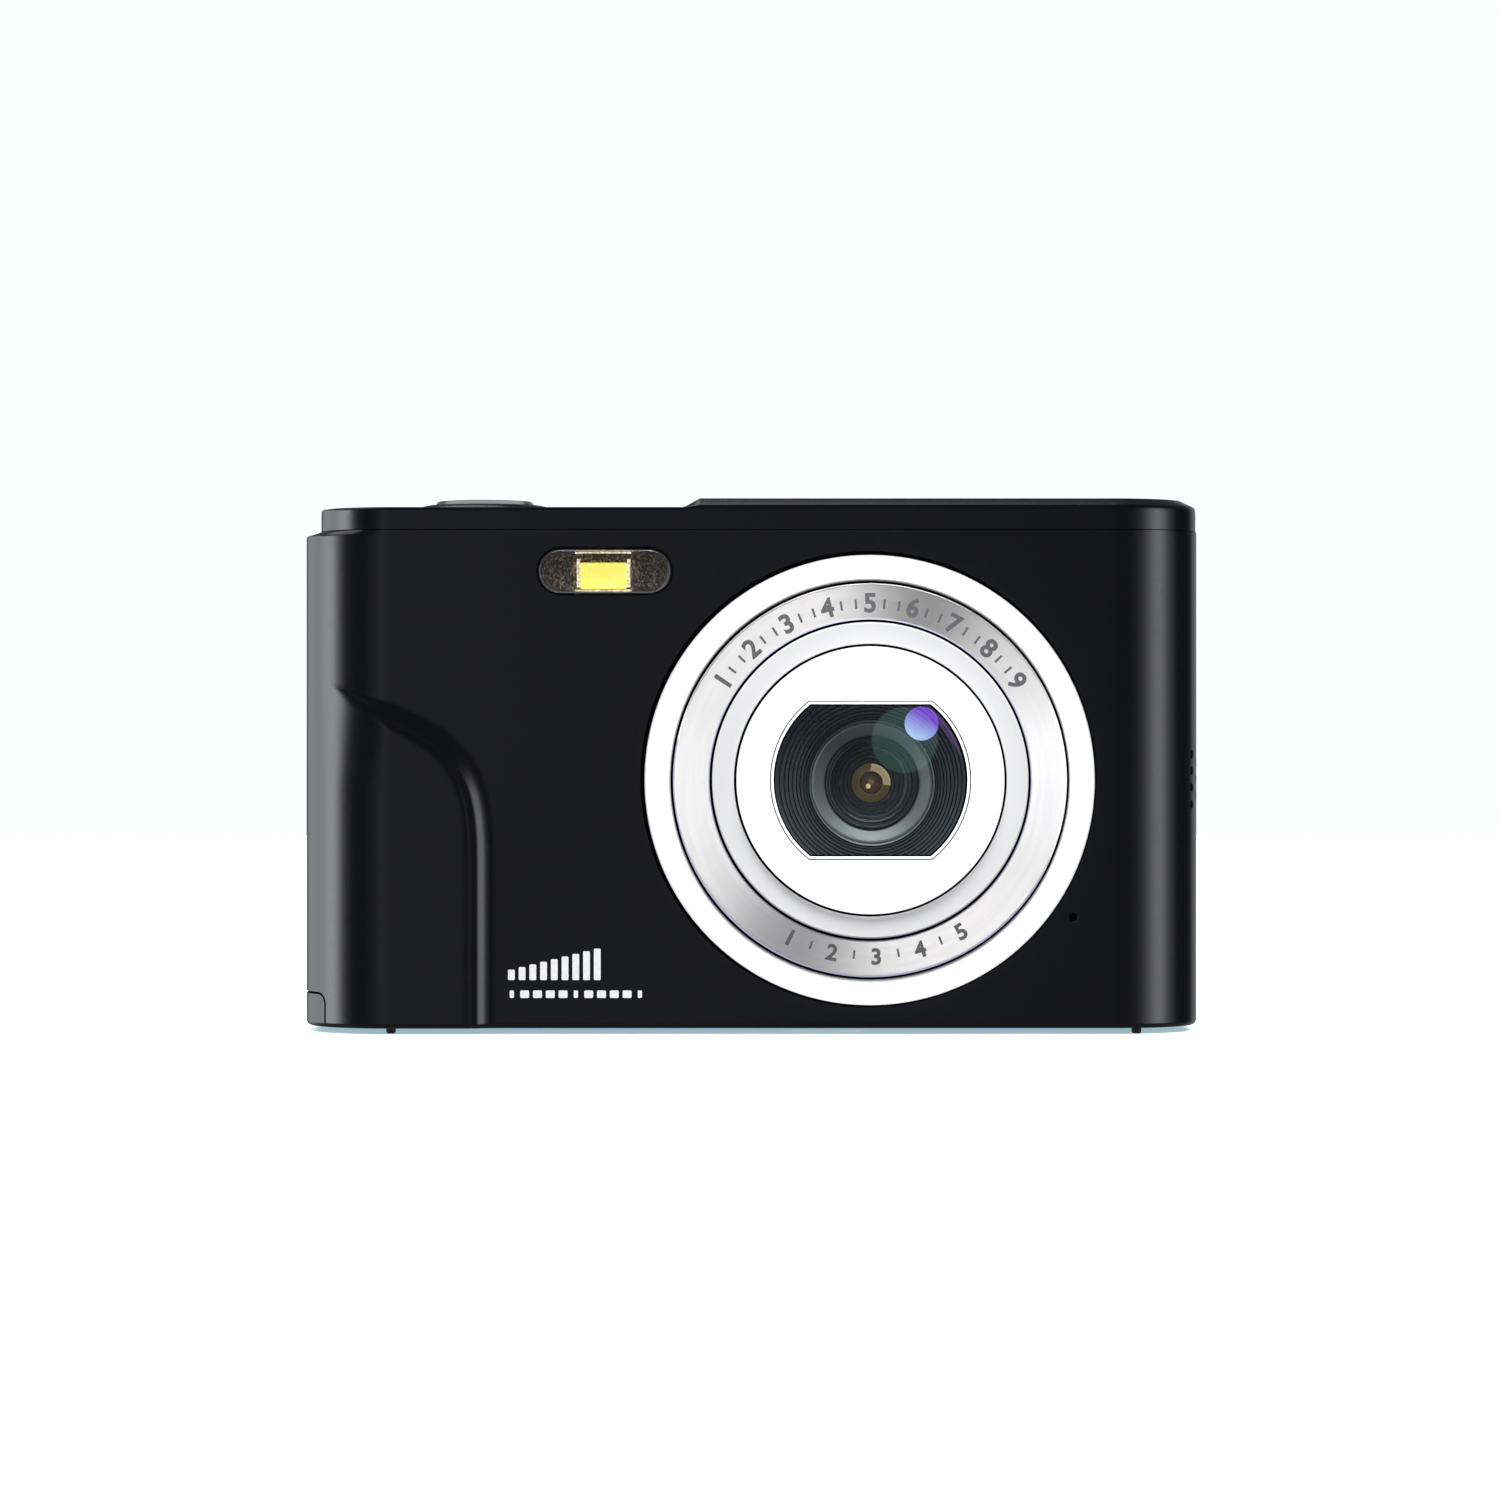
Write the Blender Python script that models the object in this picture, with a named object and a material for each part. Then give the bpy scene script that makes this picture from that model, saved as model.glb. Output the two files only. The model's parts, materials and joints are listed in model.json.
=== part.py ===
"""Compact digital camera, modelled as the separate pieces it comes apart into.

Frame: +Z up, the lens looks along -Y, +X is to the right seen from the front. The origin lies on the
surface the camera stands on, midway between its ends. Numbers below are millimetres; the mesh helpers
turn them into metres.
"""

import math

import bmesh
import bpy
from mathutils import Vector

MM = 0.001

# Driving dimensions of the body
BODY_END = 48.0          # half the width, at both ends
BODY_FACE = 10.0         # front face at -Y and back face at +Y
BOTTOM_Z = 0.6           # underside of the body, above the feet
SEAM_Z = 53.6            # top of the two shells, where the top cover starts
TOP_Z = 56.0             # top cover over the grip
PLATFORM_Z = 57.0        # raised part of the top cover over the lens
WALL = 1.6
FRONT_RADIUS = 9.5       # plan radius of the two front corners
REAR_RADIUS = 4.0        # plan radius of the two rear corners
PARTING_Y = 2.0          # where front and rear shell meet
SEAM = 0.1               # gap between two cosmetic parts
SHOULDER = 1.5           # how far the top cover stands in from the left end
EDGE = 0.8               # rounding of the underside's edge

FRONT_CENTRE_X = BODY_END - FRONT_RADIUS
FRONT_CENTRE_Y = FRONT_RADIUS - BODY_FACE
REAR_CENTRE_X = BODY_END - REAR_RADIUS
REAR_CENTRE_Y = BODY_FACE - REAR_RADIUS
FLOOR_Z = BOTTOM_Z + WALL

# The hand grip swells out of the front. Its slope starts on this cubic curve, given as (x, z) control
# points, and climbs GRIP_HEIGHT over GRIP_WIDTH, which narrows towards the left end.
GRIP_FOOT = ((-46.0, 37.5), (-27.4, 34.3), (-27.1, 26.5), (-27.1, 17.0))
GRIP_HEIGHT, GRIP_WIDTH = 1.0, 3.4
GRIP_TOP_Z = 38.2

# Lens axis, and the radii and front faces of the rings around it
LENS_X, LENS_Z = 12.5, 27.0
BEZEL_RADIUS, BEZEL_FRONT = 23.83, -13.0
SCALE_RADIUS, SCALE_FRONT = 20.85, -14.5
STEP_RADIUS, STEP_FRONT = 16.7, -15.2
FACE_RADIUS, FACE_FRONT = 14.1, -16.4
WINDOW_RADIUS, WINDOW_HALF_HEIGHT = 10.5, 8.4
RETAINER_RADIUS, BARREL_RADIUS, GLASS_RADIUS = 6.4, 4.9, 4.15

# The body's middle plane lies this far behind the origin, which is midway between lens and keys
KEY_TOP = 10.6
CENTRE_Y = -(FACE_FRONT + KEY_TOP) / 2

# Controls
SHUTTER_X, SHUTTER_RADIUS, SHUTTER_TRAVEL = -28.8, 5.37, 0.5
POWER_X, POWER_Y, POWER_RADIUS = -14.0, 1.5, 2.5
PAD_X, PAD_Z = -33.0, 24.0
KEY_PROUD = 0.5
KEY_FLANGE_Y = (7.45, 8.1)
ROCKER_Z = 45.5
ROUND_KEY_RADIUS = 2.3
ROUND_KEYS = (("mode_key", -39.0, 37.0), ("play_key", -27.0, 37.0),
              ("menu_key", -39.0, 11.0), ("delete_key", -27.0, 11.0))

# Battery door, its hinge and its slide
HINGE_X, HINGE_Z = -7.4, 1.9
HINGE_RADIUS, PIN_RADIUS = 1.25, 0.5
DOOR_FRONT_Y, DOOR_REAR_Y, DOOR_TOP_Z, DOOR_WALL = -6.85, 5.6, 4.1, 1.4
DOOR_END_GAP = 1.62      # lets the door swing past the edge of the underside
KNUCKLE_HALF = 2.0

# Screws, feet, and the parts behind windows and grilles
END_SCREW_Y, END_SCREW_Z = 4.0, 46.0
BOTTOM_SCREW_Y = -6.9
BOTTOM_SCREWS_X = (0.5, 30.0)
FEET_X = (-38.4, 41.0)
FRONT_FOOT_Y, REAR_FOOT_Y = -8.1, 7.6
FLASH_X, FLASH_Z = -15.6, 49.2
SCREEN_X, SCREEN_Z = 12.2, 27.6
SPEAKER_Z = 27.05
TRIPOD_X, TRIPOD_Y, TRIPOD_BORE = 8.0, -2.8, 3.175

BIG, MEDIUM, SMALL = 48, 32, 20   # segments round large, middle and small circles


# ---------------------------------------------------------------- materials

def make_material(name, colour, roughness, metallic=0.0, alpha=1.0):
    made = bpy.data.materials.new(name)
    made.use_nodes = True
    shader = made.node_tree.nodes["Principled BSDF"]
    shader.inputs["Base Color"].default_value = (*colour, 1.0)
    shader.inputs["Roughness"].default_value = roughness
    shader.inputs["Metallic"].default_value = metallic
    shader.inputs["Alpha"].default_value = alpha
    made.diffuse_color = (*colour, alpha)
    return made


def make_materials():
    return {
        "body_black": make_material("body_black", (0.012, 0.012, 0.014), 0.3),
        "inner_black": make_material("inner_black", (0.02, 0.02, 0.022), 0.6),
        "lens_black": make_material("lens_black", (0.03, 0.035, 0.04), 0.45),
        "silver": make_material("silver", (0.9, 0.9, 0.9), 0.25, 1.0),
        "brushed": make_material("brushed", (0.75, 0.74, 0.73), 0.35, 1.0),
        "pale_grey": make_material("pale_grey", (0.82, 0.82, 0.82), 0.4),
        "glass": make_material("glass", (0.9, 0.95, 1.0), 0.05, 0.0, 0.3),
        "screen": make_material("screen", (0.008, 0.008, 0.01), 0.08),
        "circuit": make_material("circuit", (0.02, 0.16, 0.07), 0.5),
        "steel": make_material("steel", (0.6, 0.6, 0.6), 0.35, 1.0),
        "brass": make_material("brass", (0.7, 0.5, 0.2), 0.35, 1.0),
        "rubber": make_material("rubber", (0.03, 0.03, 0.03), 0.85),
        "battery_wrap": make_material("battery_wrap", (0.1, 0.12, 0.16), 0.45),
        "led": make_material("led", (0.95, 0.85, 0.15), 0.4),
        "key_grey": make_material("key_grey", (0.35, 0.36, 0.37), 0.35, 0.6),
    }


# ---------------------------------------------------------------- mesh helpers

def on_axis(axis, across, up, along):
    """A point from its two coordinates across an axis and its distance along it."""
    return {
        "X": Vector((along, across, up)),
        "Y": Vector((across, along, up)),
        "Z": Vector((across, up, along)),
    }[axis]


def finish(name, mesh_data, material, origin=(0.0, 0.0, 0.0)):
    """Makes an object in metres from a bmesh in millimetres, with its origin at the given point."""
    bmesh.ops.remove_doubles(mesh_data, verts=mesh_data.verts, dist=1e-4)
    bmesh.ops.recalc_face_normals(mesh_data, faces=mesh_data.faces)
    bmesh.ops.translate(mesh_data, verts=mesh_data.verts, vec=-Vector(origin))
    bmesh.ops.scale(mesh_data, verts=mesh_data.verts, vec=(MM, MM, MM))
    mesh = bpy.data.meshes.new(name)
    mesh_data.to_mesh(mesh)
    mesh_data.free()
    mesh.shade_smooth()
    mesh.set_sharp_from_angle(angle=math.radians(30))
    if material:
        mesh.materials.append(material)
    made = bpy.data.objects.new(name, mesh)
    made.location = Vector(origin) * MM
    bpy.context.scene.collection.objects.link(made)
    return made


def loft(name, rings, material=None, origin=(0.0, 0.0, 0.0)):
    """A closed solid through rings of points, each ring closed and with as many points as the next."""
    mesh_data = bmesh.new()
    rows = [[mesh_data.verts.new(point) for point in ring] for ring in rings]
    count = len(rows[0])
    for below, above in zip(rows, rows[1:]):
        for i in range(count):
            j = (i + 1) % count
            mesh_data.faces.new((below[i], below[j], above[j], above[i]))
    mesh_data.faces.new(reversed(rows[0]))
    mesh_data.faces.new(rows[-1])
    return finish(name, mesh_data, material, origin)


def prism(name, outline, low, high, axis="Z", material=None, origin=(0.0, 0.0, 0.0)):
    """An outline pushed along an axis from low to high."""
    rings = [[on_axis(axis, u, v, along) for u, v in outline] for along in (low, high)]
    return loft(name, rings, material, origin)


def box(name, low, high, material=None, origin=(0.0, 0.0, 0.0)):
    outline = [(low[0], low[1]), (high[0], low[1]), (high[0], high[1]), (low[0], high[1])]
    return prism(name, outline, low[2], high[2], "Z", material, origin)


def turned(name, profile, centre, axis="Y", material=None, segments=SMALL, origin=(0.0, 0.0, 0.0)):
    """A closed profile of (radius, distance along the axis) turned round an axis through centre."""
    mesh_data = bmesh.new()
    rows = []
    for step in range(segments):
        angle = 2 * math.pi * step / segments
        row = []
        for radius, along in profile:
            across = centre[0] + radius * math.cos(angle)
            up = centre[1] + radius * math.sin(angle)
            row.append(mesh_data.verts.new(on_axis(axis, across, up, along)))
        rows.append(row)
    for step in range(segments):
        here, after = rows[step], rows[(step + 1) % segments]
        for i in range(len(profile)):
            j = (i + 1) % len(profile)
            if profile[i][0] > 0 or profile[j][0] > 0:
                mesh_data.faces.new((here[i], here[j], after[j], after[i]))
    return finish(name, mesh_data, material, origin)


def disc_profile(radius, low, high):
    return [(0.0, low), (radius, low), (radius, high), (0.0, high)]


def tube_profile(outer, inner, low, high):
    return [(inner, low), (outer, low), (outer, high), (inner, high)]


def hide_tool(tool):
    tool.hide_render = True
    tool.display_type = "WIRE"


def combine(target, tool, operation):
    modifier = target.modifiers.new(tool.name, "BOOLEAN")
    modifier.operation = operation
    modifier.solver = "EXACT"
    modifier.object = tool
    hide_tool(tool)


def cut(target, *tools):
    for tool in tools:
        combine(target, tool, "DIFFERENCE")


def join(target, *tools):
    for tool in tools:
        combine(target, tool, "UNION")


# ---------------------------------------------------------------- outlines

def arc(centre_x, centre_y, radius_x, radius_y, start, end, segments):
    """Points along an elliptical arc, in degrees, both ends included."""
    points = []
    for step in range(segments + 1):
        angle = math.radians(start + (end - start) * step / segments)
        points.append((centre_x + radius_x * math.cos(angle), centre_y + radius_y * math.sin(angle)))
    return points


def circle(centre_x, centre_y, radius, segments=SMALL):
    return arc(centre_x, centre_y, radius, radius, 0, 360, segments)[:-1]


def rounded(low_x, low_y, high_x, high_y, radius, segments=3):
    points = []
    corners = ((high_x - radius, low_y + radius, -90), (high_x - radius, high_y - radius, 0),
               (low_x + radius, high_y - radius, 90), (low_x + radius, low_y + radius, 180))
    for centre_x, centre_y, start in corners:
        points += arc(centre_x, centre_y, radius, radius, start, start + 90, segments)
    return points


def centred(centre_x, centre_y, width, height, radius, segments=3):
    return rounded(centre_x - width / 2, centre_y - height / 2,
                   centre_x + width / 2, centre_y + height / 2, radius, segments)


def plan_outline(inset, shoulder=0.0):
    """The body seen from above, its wall moved in by inset and its left end by shoulder more."""
    front, rear = FRONT_RADIUS - inset, REAR_RADIUS - inset
    face = -BODY_FACE + inset
    columns = [-FRONT_CENTRE_X + 0.9 * step for step in range(1, 14)]
    points = arc(-FRONT_CENTRE_X, FRONT_CENTRE_Y, front - shoulder, front, 180, 270, 10)
    points += [(x, face) for x in columns]
    points += arc(FRONT_CENTRE_X, FRONT_CENTRE_Y, front, front, 270, 360, 8)
    points += arc(REAR_CENTRE_X, REAR_CENTRE_Y, rear, rear, 0, 90, 4)
    points += arc(-REAR_CENTRE_X, REAR_CENTRE_Y, rear - shoulder, rear, 90, 180, 4)
    return points


def window_outline(clearance=0.0):
    """A circle with its top and bottom cut flat."""
    radius = WINDOW_RADIUS - clearance
    half = WINDOW_HALF_HEIGHT - clearance
    end = math.degrees(math.asin(half / radius))
    right = arc(LENS_X, LENS_Z, radius, radius, -end, end, 8)
    left = arc(LENS_X, LENS_Z, radius, radius, 180 - end, 180 + end, 8)
    return right + left


# ---------------------------------------------------------------- the grip

def bezier(controls, segments=16):
    points = []
    for step in range(segments + 1):
        t = step / segments
        weights = ((1 - t) ** 3, 3 * t * (1 - t) ** 2, 3 * t * t * (1 - t), t ** 3)
        points.append(tuple(sum(w * c[k] for w, c in zip(weights, controls)) for k in (0, 1)))
    return points


def grip_edge():
    """The foot of the grip's slope, run on past the left end and straight down to the underside."""
    curve = bezier(GRIP_FOOT)
    return [(curve[0][0] - 6.0, curve[0][1] + 1.0)] + curve + [(curve[-1][0], -5.0)]


GRIP_EDGE = grip_edge()


def inside_grip(x, z):
    """Signed distance of a point from the foot of the slope, positive on the grip's side."""
    best, sign = None, 1.0
    for (ax, az), (bx, bz) in zip(GRIP_EDGE, GRIP_EDGE[1:]):
        dx, dz = bx - ax, bz - az
        t = ((x - ax) * dx + (z - az) * dz) / (dx * dx + dz * dz)
        t = min(1.0, max(0.0, t))
        distance = math.hypot(x - ax - t * dx, z - az - t * dz)
        if best is None or distance < best:
            best = distance
            sign = -1.0 if dx * (z - az) - dz * (x - ax) > 0 else 1.0
    return sign * best


def grip_rise(x, y, z):
    """How far the front stands forward at a point of the plain body."""
    depth = (FRONT_CENTRE_Y - y) / FRONT_RADIUS
    distance = inside_grip(x, z)
    if depth <= 0 or distance <= 0:
        return 0.0
    width = GRIP_WIDTH * min(1.0, max(0.3, (x + 45.2) / 7.2))
    share = min(1.0, distance / width)
    return GRIP_HEIGHT * min(1.0, depth) * (0.5 - 0.5 * math.cos(math.pi * share))


def body_block(name):
    """The whole outside of the two shells as one solid, grip included."""
    levels = [(BOTTOM_Z, EDGE, 0.0), (BOTTOM_Z + 0.3 * EDGE, 0.3 * EDGE, 0.0),
              (BOTTOM_Z + EDGE, 0.0, 0.0)]
    steps = 20
    straight = GRIP_FOOT[3][1]
    for step in range(steps + 1):
        levels.append((straight + (GRIP_TOP_Z - straight) * step / steps, 0.0, 0.0))
    levels += [(SEAM_Z - 0.5, 0.0, 0.0), (SEAM_Z, 0.1, SHOULDER)]
    rings = []
    for z, inset, shoulder in levels:
        outline = plan_outline(inset, shoulder)
        rings.append([(x, y - grip_rise(x, y, z), z) for x, y in outline])
    return loft(name, rings)


def plan_block(name, inset, low, high, shoulder=0.0):
    return prism(name, plan_outline(inset, shoulder), low, high, "Z")


# ---------------------------------------------------------------- shells and top cover

def door_region(name, clearance):
    """The underside and end that the battery door takes up, as a solid running along X."""
    outline = rounded(DOOR_FRONT_Y - clearance, -20.0, DOOR_REAR_Y + clearance,
                      DOOR_TOP_Z + clearance, 1.0 + clearance)
    end = HINGE_X + (DOOR_END_GAP if clearance else 0.0)
    return prism(name, outline, -BODY_END - 2, end, "X")


def screw_holes(name, axis, across, up, outside, inward):
    """A head recess and a shank hole; inward is +1 or -1 along the axis."""
    profile = [(0.0, outside - inward), (1.45, outside - inward), (1.45, outside + 0.95 * inward),
               (0.8, outside + 0.95 * inward), (0.8, outside + 7 * inward), (0.0, outside + 7 * inward)]
    return turned(name, profile, (across, up), axis, None, 16)


def screw_boss(name, axis, across, up, low, high):
    return turned(name, disc_profile(1.9, low, high), (across, up), axis, None, 16)


def make_front_shell(m):
    shell = body_block("front_shell")
    shell.data.materials.append(m["body_black"])
    cavity = plan_block("cut_front_cavity", WALL, FLOOR_Z, SEAM_Z + 5)
    for i, x in enumerate(BOTTOM_SCREWS_X):
        cut(cavity, screw_boss(f"keep_boss_{i}", "Z", x, BOTTOM_SCREW_Y, FLOOR_Z - 1, 5.5))
    guide = box("keep_front_guide", (HINGE_X + DOOR_END_GAP, -3.0, FLOOR_Z - 1),
                (HINGE_X + 10, -2.15, 4.2))
    cut(cavity, guide)
    lens = (LENS_X, LENS_Z)
    cut(shell, cavity,
        box("cut_front_half", (-60, PARTING_Y - SEAM / 2, -10), (60, 30, 70)),
        door_region("cut_front_door", 0.12),
        turned("cut_lens_opening", disc_profile(21.45, -14, -5), lens, "Y", None, BIG),
        prism("cut_flash_opening", centred(-15.6, 49.2, 14.34, 4.94, 2.46, 5), -14, -5, "Y"),
        turned("cut_microphone_hole", disc_profile(0.45, -14, -5), (34.2, 12.4), "Y", None, 12),
        turned("cut_tripod_hole", disc_profile(4.25, -2, 5), (TRIPOD_X, TRIPOD_Y), "Z", None, SMALL))
    for column, (y, count) in enumerate(((-3.82, 3), (-2.75, 4), (-1.68, 3))):
        for row in range(count):
            z = SPEAKER_Z + 1.85 * (row - (count - 1) / 2)
            cut(shell, turned(f"cut_speaker_{column}_{row}", disc_profile(0.4, 44, 50), (y, z),
                              "X", None, 8))
    for i, x in enumerate(BOTTOM_SCREWS_X):
        cut(shell, screw_holes(f"cut_bottom_screw_{i}", "Z", x, BOTTOM_SCREW_Y, BOTTOM_Z, 1))
    for x in FEET_X:
        cut(shell, foot_block(f"cut_front_foot_{x:.0f}", x, FRONT_FOOT_Y, 0.1))
    return shell


def make_rear_shell(m):
    shell = body_block("rear_shell")
    shell.data.materials.append(m["body_black"])
    cavity = plan_block("cut_rear_cavity", WALL, FLOOR_Z, SEAM_Z + 5)
    for side in (-1, 1):
        low, high = sorted((side * 44.0, side * 47.0))
        cut(cavity, screw_boss(f"keep_end_boss_{side}", "X", END_SCREW_Y, END_SCREW_Z, low, high))
    cut(cavity,
        box("keep_rear_guide", (HINGE_X + DOOR_END_GAP, 2.15, FLOOR_Z - 1), (HINGE_X + 10, 3.0, 4.2)),
        box("keep_strap_block", (44.2, 2.6, 8.0), (47, 7.0, 19.0)))
    cut(shell, cavity,
        box("cut_rear_half", (-60, -30, -10), (60, PARTING_Y + SEAM / 2, 70)),
        door_region("cut_rear_door", 0.12),
        prism("cut_screen_pocket", centred(SCREEN_X, SCREEN_Z, 61.9, 46.9, 1.6), 9.0, 12, "Y"),
        prism("cut_screen_opening", centred(SCREEN_X, SCREEN_Z, 58.4, 44.0, 0.8), 6, 12, "Y"),
        box("cut_usb_opening", (-50, 2.2, 31.9), (-45, 5.1, 39.7)),
        box("cut_strap_pocket", (45.2, 3.4, 9.6), (50, 6.2, 17.2)),
        turned("cut_strap_bar", disc_profile(0.66, 8.5, 18.3), (46.9, 4.8), "Z", None, 16),
        turned("cut_pad_opening", disc_profile(8.35, 6, 12), (PAD_X, PAD_Z), "Y", None, MEDIUM),
        prism("cut_rocker_opening", centred(PAD_X, ROCKER_Z, 13.4, 5.0, 2.49, 5), 6, 12, "Y"))
    for name, x, z in ROUND_KEYS:
        cut(shell, turned(f"cut_{name}_hole", disc_profile(ROUND_KEY_RADIUS + 0.15, 6, 12), (x, z),
                          "Y", None, SMALL))
    for side in (-1, 1):
        cut(shell, screw_holes(f"cut_end_screw_{side}", "X", END_SCREW_Y, END_SCREW_Z,
                               side * BODY_END, -side))
    for x in FEET_X:
        cut(shell, foot_block(f"cut_rear_foot_{x:.0f}", x, REAR_FOOT_Y, 0.1))
    return shell


def platform_outline(inset, left):
    """The raised part of the top, from a straight left edge round the right end."""
    front, rear = FRONT_RADIUS - inset, REAR_RADIUS - inset
    points = [(left, -BODY_FACE + inset)]
    points += arc(FRONT_CENTRE_X, FRONT_CENTRE_Y, front, front, 270, 360, 8)
    points += arc(REAR_CENTRE_X, REAR_CENTRE_Y, rear, rear, 0, 90, 4)
    points.append((left, BODY_FACE - inset))
    return points


def make_top_cover(m):
    levels = ((SEAM_Z + SEAM, 0.1), (TOP_Z - 0.3, 0.1), (TOP_Z, 0.4))
    rings = [[(x, y, z) for x, y in plan_outline(inset, SHOULDER)] for z, inset in levels]
    cover = loft("top_cover", rings, m["body_black"])
    low = [(x, y, TOP_Z - 0.3) for x, y in platform_outline(0.12, -7.5)]
    middle = [(x, y, TOP_Z) for x, y in platform_outline(0.12, -7.05)]
    high = [(x, y, PLATFORM_Z) for x, y in platform_outline(1.3, -5.5)]
    join(cover,
         loft("add_platform", [low, middle, high]),
         prism("add_cover_lip", plan_outline(1.75, SHOULDER - 1.4), 52.0, SEAM_Z + 0.4, "Z"))
    cut(cover,
        prism("cut_cover_cavity", plan_outline(2.7, 0.6), 50, TOP_Z - 1.5, "Z"),
        turned("cut_shutter_hole", disc_profile(5.55, 50, 60), (SHUTTER_X, 0), "Z", None, MEDIUM),
        turned("cut_power_hole", disc_profile(POWER_RADIUS + 0.15, 50, 60), (POWER_X, POWER_Y),
               "Z", None, SMALL))
    return cover


# ---------------------------------------------------------------- lens

def make_lens(m):
    lens = (LENS_X, LENS_Z)
    turned("lens_bezel_ring",
           [(8.4, -9.25), (17.0, -9.25), (17.0, -11.3), (21.0, -11.3), (21.0, BEZEL_FRONT + 0.4),
            (21.5, BEZEL_FRONT), (23.35, BEZEL_FRONT), (BEZEL_RADIUS, BEZEL_FRONT + 0.5),
            (BEZEL_RADIUS, -10.1), (21.3, -10.1), (21.3, -8.0), (8.4, -8.0)],
           lens, "Y", m["silver"], BIG)
    turned("lens_scale_ring",
           [(16.85, -11.45), (16.85, SCALE_FRONT), (20.6, SCALE_FRONT + 0.55),
            (SCALE_RADIUS, SCALE_FRONT + 0.8), (SCALE_RADIUS, -11.45)],
           lens, "Y", m["brushed"], BIG)
    turned("lens_step_ring",
           [(14.25, STEP_FRONT + 0.8), (14.25, STEP_FRONT), (16.45, STEP_FRONT),
            (STEP_RADIUS, STEP_FRONT + 0.25), (STEP_RADIUS, -9.4), (15.2, -9.4),
            (15.2, STEP_FRONT + 0.8)],
           lens, "Y", m["pale_grey"], BIG)
    face = turned("lens_face_plate",
                  [(0.0, FACE_FRONT), (13.7, FACE_FRONT), (FACE_RADIUS, FACE_FRONT + 0.4),
                   (FACE_RADIUS, -9.4), (12.75, -9.4), (12.75, -15.0), (0.0, -15.0)],
                  lens, "Y", m["silver"], BIG)
    cut(face, prism("cut_lens_window", window_outline(), -20, -14, "Y"))
    turned("lens_window", disc_profile(12.6, -14.9, -14.1), lens, "Y", m["glass"], MEDIUM)
    turned("lens_baffle",
           [(11.0, -14.0), (12.6, -14.0), (12.6, -9.6), (8.2, -9.6), (8.2, -5.5), (6.5, -5.5),
            (6.5, -9.2), (8.0, -9.9), (9.2, -11.6)],
           lens, "Y", m["lens_black"], MEDIUM)
    turned("lens_retainer", tube_profile(RETAINER_RADIUS, 5.0, -9.1, -5.6), lens, "Y", m["key_grey"],
           MEDIUM)
    turned("lens_barrel",
           [(4.25, -6.5), (4.25, -8.5), (4.6, -8.9), (BARREL_RADIUS, -8.9), (BARREL_RADIUS, 0.4),
            (3.4, 0.4), (3.4, -6.5)],
           lens, "Y", m["lens_black"], MEDIUM)
    turned("front_lens",
           [(0.0, -8.5), (1.6, -8.35), (3.0, -7.95), (GLASS_RADIUS, -7.2), (GLASS_RADIUS, -6.6),
            (0.0, -6.6)],
           lens, "Y", m["glass"], MEDIUM)
    turned("aperture_stop", tube_profile(3.3, 1.2, -5.9, -5.5), lens, "Y", m["inner_black"])
    turned("rear_lens", disc_profile(3.3, -4.8, -2.6), lens, "Y", m["glass"])
    holder = box("lens_holder", (LENS_X - 7.5, -2.6, LENS_Z - 7.5), (LENS_X + 7.5, 3.1, LENS_Z + 7.5),
                 m["inner_black"])
    cut(holder,
        turned("cut_holder_bore", disc_profile(5.0, -4, 1.0), lens, "Y", None, SMALL),
        box("cut_sensor_well", (LENS_X - 5, 0.9, LENS_Z - 5), (LENS_X + 5, 5, LENS_Z + 5)))
    box("image_sensor", (LENS_X - 3.6, 2.1, LENS_Z - 2.9), (LENS_X + 3.6, 3.1, LENS_Z + 2.9), m["glass"])


# ---------------------------------------------------------------- flash

def make_flash(m):
    prism("flash_window", centred(FLASH_X, FLASH_Z, 14.1, 4.7, 2.34, 5), -10.1, -8.6, "Y", m["glass"])
    reflector = box("flash_reflector", (FLASH_X - 6.8, -8.3, FLASH_Z - 2.2),
                    (FLASH_X + 6.8, -4.6, FLASH_Z + 2.2), m["silver"])
    mouth = [(x, -8.5, z) for x, z in centred(FLASH_X, FLASH_Z, 13.2, 4.0, 0.4, 1)]
    back = [(x, -5.3, z) for x, z in centred(FLASH_X, FLASH_Z, 5.6, 3.2, 0.3, 1)]
    cut(reflector, loft("cut_reflector_trough", [mouth, back]))
    box("flash_led", (FLASH_X - 2.4, -6.1, FLASH_Z - 1.4), (FLASH_X + 2.4, -5.4, FLASH_Z + 1.4), m["led"])


# ---------------------------------------------------------------- screen and boards

def make_screen(m):
    prism("lcd_window", centred(SCREEN_X, SCREEN_Z, 61.6, 46.6, 1.5), 9.1, BODY_FACE, "Y", m["screen"])
    box("lcd_panel", (-19.3, 6.0, 3.6), (43.7, 8.2, 51.6), m["inner_black"])
    frame = box("lcd_frame", (-19.3, 5.1, 3.6), (43.7, 5.8, 51.6), m["steel"])
    for i, x in enumerate((-1.0, 26.0)):
        cut(frame, prism(f"cut_frame_window_{i}", centred(x, SCREEN_Z, 16, 26, 2, 2), 4, 7, "Y"))


def make_boards(m):
    box("main_board", (-7.9, 3.25, 4.0), (43.6, 4.25, 51.0), m["circuit"])
    box("key_board", (-43.4, 5.2, 5.0), (-21.8, 6.0, 51.0), m["circuit"])
    box("key_mat", (-43.2, 6.3, 5.2), (-22.0, 6.95, 50.8), m["rubber"])


# ---------------------------------------------------------------- battery, card and sockets

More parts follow.
